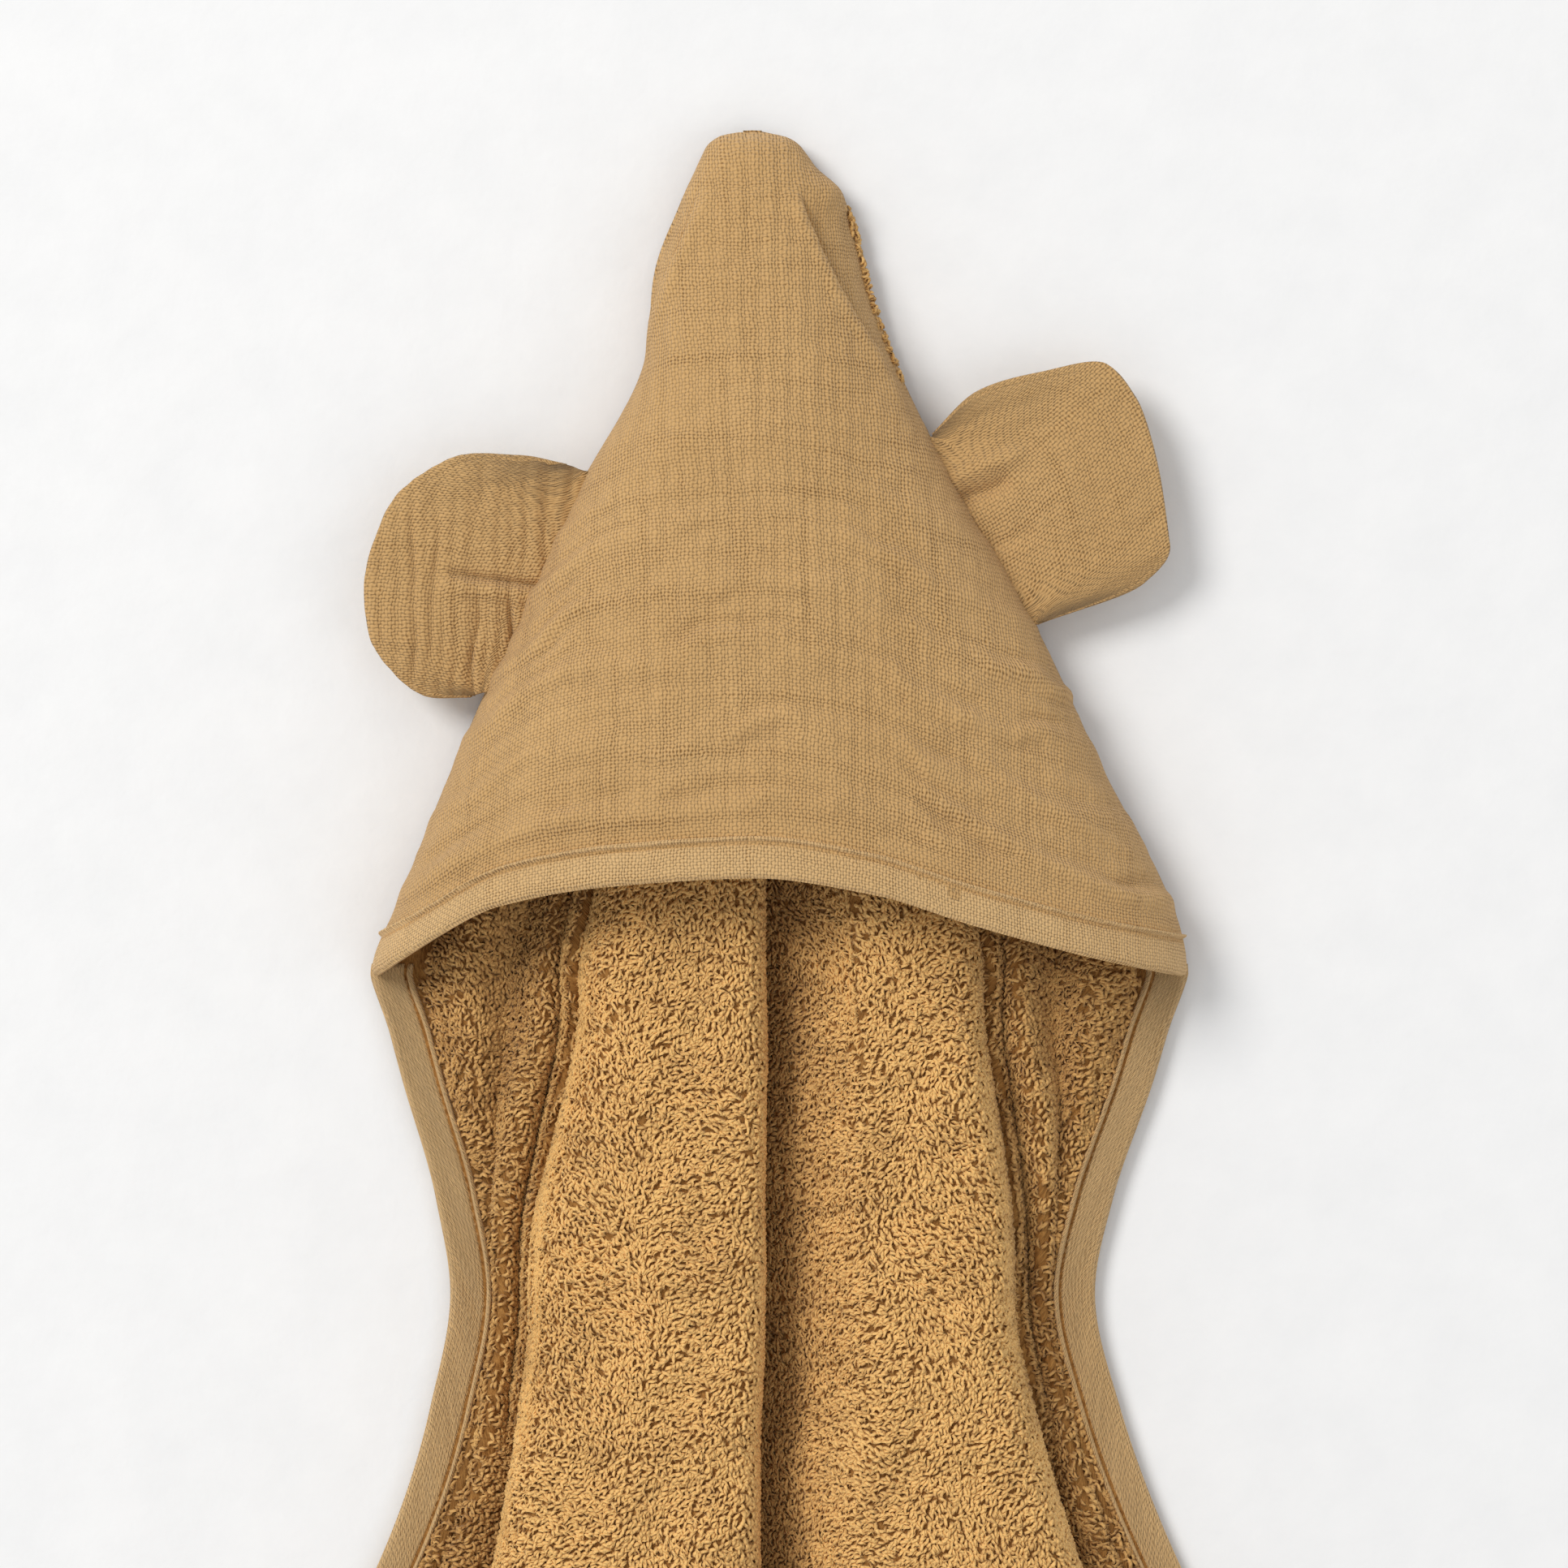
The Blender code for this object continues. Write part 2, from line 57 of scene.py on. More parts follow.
HOOD_RISE = 0.056            # height of the hood's arch at its mouth
WAIST_HALF_WIDTH = 0.096     # where the sides pinch in
WAIST_DOWN = 0.345
WAIST_LEAN = 0.002           # the waist lies a little to the left
WAIST_REACH = 0.050
BINDING_WIDTH = 0.013
ROLL_HEIGHT = 0.028          # the two long rolls of the terry
VALLEY_HALF_WIDTH = 0.0065   # between the two rolls, at the neck
ROLL_SHOULDER = 0.010        # how far a roll takes to round over
TERRY_THICKNESS = 0.003
MUSLIN_THICKNESS = 0.0016
LINING_THICKNESS = 0.0024
BINDING_THICKNESS = 0.005
EAR_LAYER_THICKNESS = 0.0012
THREAD_RADIUS = 0.0003

CLEARANCE = 0.0004           # between pieces that are sewn face to face
JOINT_CLEARANCE = 0.0009     # between bindings that part when the hood lifts
EAR_CLEARANCE = 0.0008       # between an ear and the hood's wall
BINDING_SINK = 0.0010        # the band's middle lies inside the muslin's
SEAM_HEIGHT = BINDING_THICKNESS / 2 + TERRY_THICKNESS / 2 + 0.0006   # the hood front's lower rim
EAR_HEIGHT = 0.012           # the ear hinges above the floor
EAR_CAMBER = 0.004
VALLEY_MIDDLE = 0.0005       # the lowest line of the valley, from the centre line
MOST_BOUND_SHARE = 0.2       # of the half width that the binding takes where the hood narrows
MITRE_STRETCH = 1.35         # the hem crosses the rows on a slant
MITRE_GAP_LINES = 0.03       # between the two bindings at the bottom corner, in lines
HEM_ROUNDING = 0.06          # how round the bottom corner is cut
TIP_OFFSET = -0.008          # the hood's tip lies a little to one side
LEAST_REACH = 0.002          # the hood's narrowest half width
ARCH_FULLNESS = 0.8          # below 1 the hood's arch is fuller than a sine
LINING_START = 0.026         # the lining stops short of the tip's seam allowance

# Lines along the terry from an edge to the middle, counted across the towel.
CENTRE_LINE = 13
LAST_LINE = 2 * CENTRE_LINE
NECK_DOWN = HOOD_DOWN + 0.0005
STITCH_SHARE = 0.81          # where a seam runs across its binding, from the outside

# Steps along a binding, from the neck round the side corner to the bottom corner.
HEM_STEPS = 2 * CENTRE_LINE - 2
SIDE_STEPS = 17
BINDING_STEPS = 2 * HEM_STEPS + SIDE_STEPS

FLOOR_LEVEL = TERRY_THICKNESS / 2
EDGE_LEVEL = BINDING_THICKNESS / 2

# What the cloth looks like, over those dimensions.
SEED = 7                     # of the loops; each random field has a seed of its own
UNDERCUT = 0.0022            # how far a roll's side hangs over the cloth beside it
VALLEY_UNDERCUT = 0.0085     # the same for the left roll over the valley
INNER_EDGE = {-1: (0.35, 0.96, 0.62), 1: (1.3, 0.86, 0.34)}   # the rolls' sides at the valley
PILE_LINES = 1.03            # no loops nearer the edge, where the binding lies
SEAM_PILE_LINES = (1.6, 1.25)   # the same inside the hood and at its mouth, where it closes in
MOUTH_REACH = 0.015          # how far up from the neck the second of those holds
TUCKED_LINES = 0.45          # the terry's edge lies this far inside its binding
HEM_TUCK = 0.006             # and this far inside the hem's binding
FINE_PILE_DOWN = 0.445       # the loops are coarser below this
NEAR_PILE = (0.70, 1.0)      # loops per square millimetre, and their size
FAR_PILE = (0.185, 1.42)
LOOP_RINGS = 5
CORD_SIDES = 3
CELL_MARGIN = 0.08           # between one cord's place in the bake and the next
LOOPS_PER_PIECE = 8000
STITCH_LENGTH = 0.0030
STITCHED_SHARE = 0.78        # of a stitch length, the rest is the hole between two stitches
BACK_PILE = 0.22     # behind the hood, per square millimetre
LINING_PILE = 0.16   # and inside it
TOWEL_GRID = ((520, 480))   # columns and rows
HOOD_GRID = ((330, 260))
LINING_GRID = (90, 70)
EAR_GRID = ((130, 110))
EDGE_STATIONS = 520   # along the hood's tape
SIDE_STATIONS = 1100  # along a side binding
BAND_POINTS = 25             # across a binding
BAND_BACK = 0.9              # a binding's back over its front
CORNER_OVERLAP = 0.0045      # the side bindings run up under the hood's edge
CORNER_SHARE = 0.012         # over this share of their length
CORNER_BULGE = 0.0013        # they stand out there, where the layers meet
FRINGE_LOOPS = 330           # past the hood's right seam
TIP_START = -0.0010          # the muslin turns over the tip
TERRY_START = 0.0025         # the terry runs nearly to the tip behind the muslin
STRAP_OUT, STRAP_HEIGHT, STRAP_WIDTH = 0.0042, 0.0050, 0.0015   # the narrow pleats beside the rolls
LEFT_EAR_RIBS = (            # X and depth of the creases down the left ear
    (-0.1082, 0.0013), (-0.1021, 0.0011), (-0.0901, 0.0014),
    (-0.0799, 0.0016), (-0.0757, 0.0009), (-0.0690, 0.0013),
)
EAR_TUCK = 0.0015            # an ear's root runs into the hood's wall

# Tucks of the hood: start and end (x, down), width, height and bend. Folds: downs and X values.
TUCKS = (
    ((0.030, 0.188), (0.117, 0.232), 0.0022, 0.0018, 0.004),
    ((0.050, 0.180), (0.112, 0.218), 0.0020, 0.0014, 0.003),
    ((-0.105, 0.222), (-0.020, 0.192), 0.0022, 0.0011, -0.003),
)
RIGHT_FOLD = ((0.0188, 0.0415, 0.0560, 0.0680, 0.0820), (0.0041, 0.0143, 0.0225, 0.0300, 0.0360))
LEFT_FOLD = ((0.0168, 0.0372, 0.0576, 0.0700), (-0.0216, -0.0300, -0.0384, -0.0440))
# Side, line, how far the cloth beyond it lies back, where it fades, and how far in its crest is.
FOLDS = ((1, RIGHT_FOLD, 0.0042, 0.070, 0.0015), (-1, LEFT_FOLD, 0.0046, 0.055, 0.0018))

# Seams close to a point: 0 at the seam and nearly 1 just inside it.
SEAM_FADE = 0.35

# Weaves: metres between threads, openness, relief, and how much the streaks add to it.
MUSLIN_WEAVE = (0.00108, 0.84, 0.00030, 1.6)
BINDING_WEAVE = (0.00096, 0.95, 0.00030, 0.5)

GROUND_DARK = (0.190, 0.075, 0.016, 1.0)
GROUND_LIGHT = (0.500, 0.250, 0.070, 1.0)
# LOOP_DARK to LOOP_LIGHT carries painted shade as well as the yarn's colour: loop roots and loops
# low on the cloth are painted darker.
LOOP_DARK = (0.235, 0.088, 0.016, 1.0)
LOOP_LIGHT = (0.890, 0.545, 0.195, 1.0)
MUSLIN_LIGHT = ((0.600, 0.365, 0.145, 1.0), (0.660, 0.410, 0.170, 1.0))
MUSLIN_DARK = (0.260, 0.130, 0.035, 1.0)
BINDING_LIGHT = ((0.700, 0.450, 0.200, 1.0), (0.750, 0.495, 0.228, 1.0))
BINDING_DARK = (0.330, 0.175, 0.055, 1.0)
THREAD_DARK = (0.420, 0.230, 0.080, 1.0)
THREAD_LIGHT = (0.600, 0.360, 0.150, 1.0)
FLOOR_DARK = (0.865, 0.870, 0.875, 1.0)
FLOOR_LIGHT = (0.900, 0.903, 0.905, 1.0)

VIEW_X, VIEW_Y, VIEW_LEVEL, VIEW_WIDTH = 0.0014, 0.3266, 0.015, 0.464
CAMERA_LENS, SENSOR = 150.0, 36.0
FILL, KEY_WATTS, SIDE_WATTS = 0.61, 140.0, 8.0
LIT_CENTRE = (0.0, 0.20, 0.0)
KEY_PLACE, KEY_SIZE, KEY_COLOUR = (-2.7, 2.3, 3.7), 2.2, (1.0, 0.985, 0.965)
RIM_PLACE, RIM_SIZE, RIM_COLOUR = (2.6, -1.0, 2.6), 2.4, (0.97, 0.985, 1.0)
FLOOR_HALF, FLOOR_Z = 4.0, -0.0018   # just under the lowest loop

# The pieces' cuts, flat, in metres.
EAR_FLAT, EAR_AREAS = (0.075, 0.060), (0.0036, 0.0041)


def along(down):
    """The Y of a distance down the towel."""
    return LAID_LENGTH / 2 - down


def smooth_curve(at, places, values):
    """A curve through the values with no overshoot, at one place or at an array of them."""
    places = np.asarray(places, float)
    values = np.asarray(values, float)
    steps = np.diff(places)
    slopes = np.diff(values) / steps
    tangents = np.zeros(len(places))
    same_way = slopes[:-1] * slopes[1:] > 0
    mean = 2 * slopes[:-1] * slopes[1:] / np.where(same_way, slopes[:-1] + slopes[1:], 1)
    tangents[1:-1] = np.where(same_way, mean, 0)
    tangents[0] = slopes[0]
    tangents[-1] = slopes[-1]
    at = np.clip(np.asarray(at, float), places[0], places[-1])
    cell = np.clip(np.searchsorted(places, at, side="right") - 1, 0, len(steps) - 1)
    share = (at - places[cell]) / steps[cell]
    rise = share * share * (3 - 2 * share)
    start_lean = share * (1 - share) ** 2 * steps[cell] * tangents[cell]
    end_lean = share * share * (share - 1) * steps[cell] * tangents[cell + 1]
    return values[cell] * (1 - rise) + values[cell + 1] * rise + start_lean + end_lean


def hood_side(down, side):
    """The hood's half width from its own middle, -1 for the left side and +1 for the right."""
    if side < 0:
        places = (0.0, 0.006, 0.015, 0.029, 0.040, 0.172, 0.260, 0.423, 0.663, 0.910, 1.0, 1.2)
        shares = (0.015, 0.078, 0.107, 0.124, 0.136, 0.262, 0.287, 0.472, 0.719, 0.932, 1.0, 1.0)
    else:
        places = (0.0, 0.006, 0.014, 0.026, 0.040, 0.072, 0.212, 0.355, 0.579, 0.727, 1.0, 1.2)
        shares = (0.015, 0.078, 0.107, 0.126, 0.145, 0.208, 0.276, 0.385, 0.622, 0.765, 1.0, 1.0)
    return HOOD_HALF_WIDTH * smooth_curve(np.asarray(down) / HOOD_DOWN, places, shares)


def hood_middle(down):
    """The X of the hood's own middle line, which leans towards its tip."""
    leans = (TIP_OFFSET, TIP_OFFSET / 2, 0.0, 0.0)
    return smooth_curve(np.asarray(down) / HOOD_DOWN, (0.0, 0.28, 0.64, 1.0), leans)


def hood_height(down):
    """The hood's arch above its seams."""
    places = (0.0, 0.016, 0.048, 0.16, 0.32, 0.56, 0.80, 0.94, 1.08)
    shares = (0.0, 0.16, 0.25, 0.39, 0.55, 0.75, 0.89, 0.96, 1.0)
    return HOOD_RISE * smooth_curve(np.asarray(down) / HOOD_DOWN, places, shares)


def towel_edge(down, side):
    """The half width of the laid towel."""
    spread = SPREAD_HALF_WIDTH
    above_waist = np.array((0.0, 0.323, 0.704, 1.0))
    below_waist = np.array((0.108, 0.254, 0.587, 0.873, 1.0))
    places = (
        *(HOOD_DOWN + (WAIST_DOWN - HOOD_DOWN) * above_waist),
        *(WAIST_DOWN + (SIDE_CORNER_DOWN - WAIST_DOWN) * below_waist),
        LAID_LENGTH,
    )
    lean = WAIST_LEAN * np.exp(-(((np.asarray(down) - WAIST_DOWN) / WAIST_REACH) ** 2))
    widths = (
        HOOD_HALF_WIDTH,
        HOOD_HALF_WIDTH * 0.93,
        WAIST_HALF_WIDTH * 1.05,
        WAIST_HALF_WIDTH,
        WAIST_HALF_WIDTH * 1.07,
        WAIST_HALF_WIDTH * 1.24,
        spread * 0.61,
        spread * 0.90,
        spread,
        spread * 1.40,
    )
    below = smooth_curve(down, places, widths) - side * lean
    above = hood_side(down, side) + side * hood_middle(down)
    return np.where(np.asarray(down) < HOOD_DOWN, above, below)


def body_places(hood, waist, spread, hem):
    """Distances down from shares of the hood, hood to waist, waist to side corners, and below."""
    return (
        *(HOOD_DOWN * share for share in hood),
        *(HOOD_DOWN + (WAIST_DOWN - HOOD_DOWN) * share for share in waist),
        *(WAIST_DOWN + (SIDE_CORNER_DOWN - WAIST_DOWN) * share for share in spread),
        *(SIDE_CORNER_DOWN + (LAID_LENGTH - SIDE_CORNER_DOWN) * share for share in hem),
    )


def roll_outside(down, side):
    """The outer edge of a long roll, from the middle of the towel."""
    places = body_places((0.0, 0.26, 0.48, 0.72, 1.0), (1.0,), (0.25, 0.68, 1.0), (1.0,))
    if side < 0:
        shares = (0.44, 0.46, 0.46, 0.47, 0.474, 0.720, 0.690, 0.506, 0.433, 0.405)
    else:
        shares = (0.44, 0.46, 0.46, 0.47, 0.482, 0.715, 0.731, 0.534, 0.460, 0.424)
    return towel_edge(down, side) * smooth_curve(down, places, shares)


def roll_inside(down, side):
    """The inner edge of a long roll, at the valley between the two."""
    reach = VALLEY_HALF_WIDTH * (0.92 if side < 0 else 1.08)
    places = body_places((0.0, 0.26, 0.60), (), (), (1.0,))
    return smooth_curve(down, places, (reach * 0.15, reach * 0.6, reach, reach * 2))


def roll_height(down):
    """The height of the two long rolls beside the valley."""
    places = body_places((0.0, 0.32, 0.56, 0.80, 1.0), (1.0,), (0.68,), (0.21, 0.71, 1.0))
    shares = (0.0, 0.06, 0.30, 0.72, 0.88, 1.0, 1.15, 1.38, 1.20, 0.75)
    return ROLL_HEIGHT * smooth_curve(down, places, shares)


def roll_split(down):
    """How deep a furrow divides each roll in two, as a share of its height."""
    places = body_places((0.0,), (), (0.333, 0.683), (0.105, 1.0))
    return smooth_curve(down, places, (0.0, 0.0, 0.42, 0.88, 0.94))


def ridge_share(down):
    """How far the small pleat lies from the roll towards the binding."""
    places = body_places((0.0, 0.96), (0.524, 1.0), (0.175, 0.683), (1.0,))
    return smooth_curve(down, places, (0.3, 0.18, 0.45, 0.72, 0.58, 0.46, 0.42))


def ridge_height(down):
    """The height of the small pleat beside a roll."""
    places = body_places((0.0, 0.72, 1.0), (1.0,), (0.27, 0.81), (0.37, 1.0))
    shares = (0.0, 0.15, 0.36, 0.20, 0.22, 1.15, 1.38, 0.75)
    return ROLL_HEIGHT * smooth_curve(down, places, shares)


def strip_height(down):
    """The crown of the strip between the small pleat and the binding."""
    places = body_places((0.0, 0.80, 1.0), (0.63,), (0.175, 0.683, 1.0), (1.0,))
    shares = (0.0, 0.10, 0.22, 0.03, 0.06, 0.78, 1.15, 0.60)
    return ROLL_HEIGHT * smooth_curve(down, places, shares)


def side_lines(down, side):
    """The lines of one half, from its edge inwards, as distances from the middle and heights."""
    edge = towel_edge(down, side)
    bound = edge - np.minimum(BINDING_WIDTH, edge * MOST_BOUND_SHARE)
    outside = roll_outside(down, side)
    inside = roll_inside(down, side)
    height = roll_height(down)
    ridge = outside + (bound - outside) * ridge_share(down)
    foot = ridge + (bound - ridge) * 0.34
    shoulder = np.minimum(ROLL_SHOULDER, (outside - inside) * 0.25)
    inner = INNER_EDGE[side]
    seen = smooth_step(down, 0.16, 0.21) * (1 - smooth_step(down, 0.50, 0.62))
    tuck = (ridge - outside) / -2 * (1 - seen) + UNDERCUT * seen
    flat = np.full_like(edge, EDGE_LEVEL)
    low = np.full_like(edge, FLOOR_LEVEL)
    return (
        (edge, flat),
        (bound, flat),
        ((bound + foot) / 2, flat + strip_height(down)),
        (foot, low),
        (ridge, low + ridge_height(down)),
        (outside - tuck, low),
        (outside, low + height * 0.46),
        (outside - shoulder * 0.55, low + height * 0.88),
        (inside + (outside - inside) * 0.68, low + height * 0.98),
        ((outside + inside) / 2, low + height * (1 - roll_split(down))),
        (inside + (outside - inside) * 0.32, low + height * 0.98),
        (inside + shoulder * inner[0], low + height * inner[1]),
        (inside, low + height * inner[2]),
    )


def terry_point(line, down):
    """Points on the middle of the terry, by line across (0 to LAST_LINE) and distance down."""
    line, down = np.broadcast_arrays(np.asarray(line, float), np.asarray(down, float))
    left = [(-x, z) for x, z in side_lines(down, -1)]
    right = [(x, z) for x, z in side_lines(down, 1)][::-1]
    seen = smooth_step(down, 0.16, 0.21) * (1 - smooth_step(down, 0.62, 0.80))
    middle = (VALLEY_MIDDLE - VALLEY_UNDERCUT * seen, np.full_like(down, FLOOR_LEVEL))
    lines = left + [middle] + right
    across = np.stack([x for x, _ in lines])
    heights = np.stack([z for _, z in lines])
    cell = np.clip(np.floor(line).astype(int), 0, LAST_LINE - 1)
    share = line - cell
    straight = (cell == 0) | (cell == LAST_LINE - 1)

    def blended(values):
        def pick(index):
            index = np.clip(index, 0, LAST_LINE)
            return np.take_along_axis(values, index[None], axis=0)[0]

        before, start, end, after = (pick(cell + k) for k in (-1, 0, 1, 2))
        start_lean = (end - before) / 2
        end_lean = (after - start) / 2
        rise = share * share * (3 - 2 * share)
        curved = start * (1 - rise) + end * rise
        curved = curved + share * (1 - share) ** 2 * start_lean
        curved = curved + share * share * (share - 1) * end_lean
        return np.where(straight, start + (end - start) * share, curved)

    heights_there = np.maximum(blended(heights), FLOOR_LEVEL)
    return np.stack([blended(across), along(down), heights_there], axis=-1)


def hem_down(line):
    """Where the hem cuts each line: the cloth's edge runs evenly with the width gathered."""
    reference = np.linspace(0, LAST_LINE, 40 * LAST_LINE + 1)
    points = terry_point(reference, (SIDE_CORNER_DOWN + LAID_LENGTH) / 2)
    lengths = np.linalg.norm(np.diff(points, axis=0), axis=1)
    travelled = np.concatenate([[0], np.cumsum(lengths)])
    middle = np.interp(CENTRE_LINE, reference, travelled)
    half = np.where(np.asarray(line) < CENTRE_LINE, middle, travelled[-1] - middle)
    share = np.abs(np.interp(line, reference, travelled) - middle) / half
    rounding = HEM_ROUNDING
    eased = (np.sqrt(share**2 + rounding**2) - rounding) / (np.sqrt(1 + rounding**2) - rounding)
    return LAID_LENGTH - (LAID_LENGTH - SIDE_CORNER_DOWN) * eased


def hood_point(turn, down, inset=0.0):
    """Points on the hood's arch. turn is 0 on the left seam, 0.5 on top and 1 on the right seam."""
    turn, down = np.broadcast_arrays(np.asarray(turn, float), np.asarray(down, float))
    angle = np.pi * turn
    reach = np.where(turn < 0.5, hood_side(down, -1), hood_side(down, 1)) - inset
    across = hood_middle(down) - np.cos(angle) * np.maximum(reach, LEAST_REACH)
    rise = np.maximum(hood_height(down) - inset, 0.0) * np.sin(angle) ** ARCH_FULLNESS
    return np.stack([across, along(down), SEAM_HEIGHT + rise], axis=-1)


def mouth_down(turn):
    """The hood's free edge, which arches up between its corners."""
    drop = HOOD_DOWN - MOUTH_TOP_DOWN
    places = (-1.0, -0.73, -0.44, -0.06, 0.24, 0.48, 0.76, 1.0)
    shares = (1.0, 0.28, 0.08, 0.0, 0.16, 0.46, 0.78, 1.0)
    return MOUTH_TOP_DOWN + drop * smooth_curve(-np.cos(np.pi * np.asarray(turn)), places, shares)


def binding_path(share, across, side):
    """Lines and distances down along a binding, 0 at the neck and 1 at the bottom corner."""
    corner = SIDE_STEPS / BINDING_STEPS
    start = HOOD_DOWN + JOINT_CLEARANCE
    down_side = np.clip(share / corner, 0, 1)
    along_hem = np.clip((share - corner) / (1 - corner), 0, 1)
    line = across + (CENTRE_LINE - MITRE_GAP_LINES - across) * along_hem
    hem = hem_down(line) - across * BINDING_WIDTH * MITRE_STRETCH
    down = np.where(share < corner, start + (hem - start) * down_side, hem)
    return np.where(side < 0, line, LAST_LINE - line), down


def ear_root(side, share):
    """The line on the hood's side seam that an ear is sewn into."""
    first, last = (0.403, 0.663) if side < 0 else (0.363, 0.583)
    down = HOOD_DOWN * (first + (last - first) * share)
    climbed = ((EAR_HEIGHT - SEAM_HEIGHT) / hood_height(down)) ** (1 / ARCH_FULLNESS)
    wall = hood_side(down, side) * np.sqrt(1 - climbed**2)
    across = hood_middle(down) + side * (wall + MUSLIN_THICKNESS / 2 + EAR_CLEARANCE)
    return np.stack([across, along(down), np.full_like(across, EAR_HEIGHT)], axis=-1)


def ear_rim(side, share):
    """The ear's outline, from one end of its root round to the other, measured from the root."""
    places = np.linspace(0, 1, 9)
    if side < 0:
        out = (0.0063, 0.0163, 0.0326, 0.0448, 0.0495, 0.0443, 0.0335, 0.0217, 0.0040)
        drop = (-0.0020, -0.0126, -0.0197, -0.0164, -0.0025, 0.0084, 0.0107, 0.0086, 0.0012)
    else:
        out = (0.0002, 0.0099, 0.0241, 0.0402, 0.0446, 0.0474, 0.0464, 0.0350, 0.0002)
        drop = (-0.0010, -0.0204, -0.0328, -0.0421, -0.0390, -0.0234, -0.0102, -0.0056, -0.0005)
    root = ear_root(side, share)
    x = root[..., 0] + side * smooth_curve(share, places, out)
    y = root[..., 1] - smooth_curve(share, places, drop)
    return np.stack([x, y, np.full_like(x, EAR_HEIGHT)], axis=-1)


# --- meshes ---------------------------------------------------------------------------------


def new_mesh(name, points, quads, corner_uv, uv_name="UVMap"):
    """A smooth mesh of quads, with a place in the pattern for each face corner."""
    mesh = bpy.data.meshes.new(name)
    mesh.vertices.add(len(points))
    mesh.vertices.foreach_set("co", np.ascontiguousarray(points, np.float32).ravel())
    mesh.loops.add(quads.size)
    mesh.loops.foreach_set("vertex_index", quads.astype(np.int32).ravel())
    mesh.polygons.add(len(quads))
    mesh.polygons.foreach_set("loop_start", np.arange(0, quads.size, 4, dtype=np.int32))
    mesh.polygons.foreach_set("use_smooth", np.ones(len(quads), bool))
    mesh.update(calc_edges=True)
    layer = mesh.uv_layers.new(name=uv_name)
    layer.data.foreach_set("uv", np.ascontiguousarray(corner_uv, np.float32).ravel())
    obj = bpy.data.objects.new(name, mesh)
    bpy.context.scene.collection.objects.link(obj)
    return obj


def normals_of(points):
    """Unit normals of a grid of points, from its two directions."""
    first = np.gradient(points, axis=0)
    second = np.gradient(points, axis=1)
    normal = np.cross(first, second)
    size = np.linalg.norm(normal, axis=-1, keepdims=True)
    return normal / np.maximum(size, 1e-12)


def upward_normals(points):
    """The same, on the side that mostly faces up."""
    normal = normals_of(points)
    return normal * np.where(normal[..., 2:].sum() < 0, -1.0, 1.0)


def lengths_along(points, axis):
    """How far each grid point lies along its row or column, from the middle one."""
    steps = np.linalg.norm(np.diff(points, axis=axis), axis=-1)
    start = np.zeros_like(np.take(steps, [0], axis=axis))
    travelled = np.concatenate([start, np.cumsum(steps, axis=axis)], axis=axis)
    middle = np.take(travelled, [points.shape[axis] // 2], axis=axis)
    return travelled - middle


def grid_quads(rows, columns):
    index = np.arange(rows * columns).reshape(rows, columns)
    quads = np.stack([index[:-1, :-1], index[:-1, 1:], index[1:, 1:], index[1:, :-1]], -1)
    return quads.reshape(-1, 4)


def shell(name, points, above, below, places):
    """A closed cloth between a grid moved up by above and down by below, along its normals."""
    rows, columns = points.shape[:2]
    normal = upward_normals(points)
    above = np.broadcast_to(above, (rows, columns))[..., None]
    below = np.broadcast_to(below, (rows, columns))[..., None]
    upper = points + normal * above
    lower = points - normal * below
    index = np.arange(rows * columns).reshape(rows, columns)
    top = grid_quads(rows, columns)
    middle = (rows // 2, columns // 2)
    one = points[middle[0] + 1, middle[1]] - points[middle]
    two = points[middle[0], middle[1] + 1] - points[middle]
    across = np.cross(two, one)
    if across @ normal[middle] < 0:
        top = top[:, ::-1]
    bottom = top[:, ::-1] + rows * columns
    rim = np.concatenate([index[0, :], index[1:, -1], index[-1, -2::-1], index[-2:0:-1, 0]])
    after = np.roll(rim, -1)
    wall = np.stack([rim, after, after + rows * columns, rim + rows * columns], -1)
    if across @ normal[middle] > 0:
        wall = wall[:, ::-1]
    quads = np.concatenate([top, bottom, wall])
    flat = places.reshape(-1, 2)
    uv = np.concatenate([flat, flat])[quads]
    both = np.concatenate([upper.reshape(-1, 3), lower.reshape(-1, 3)])
    return new_mesh(name, both, quads, uv)


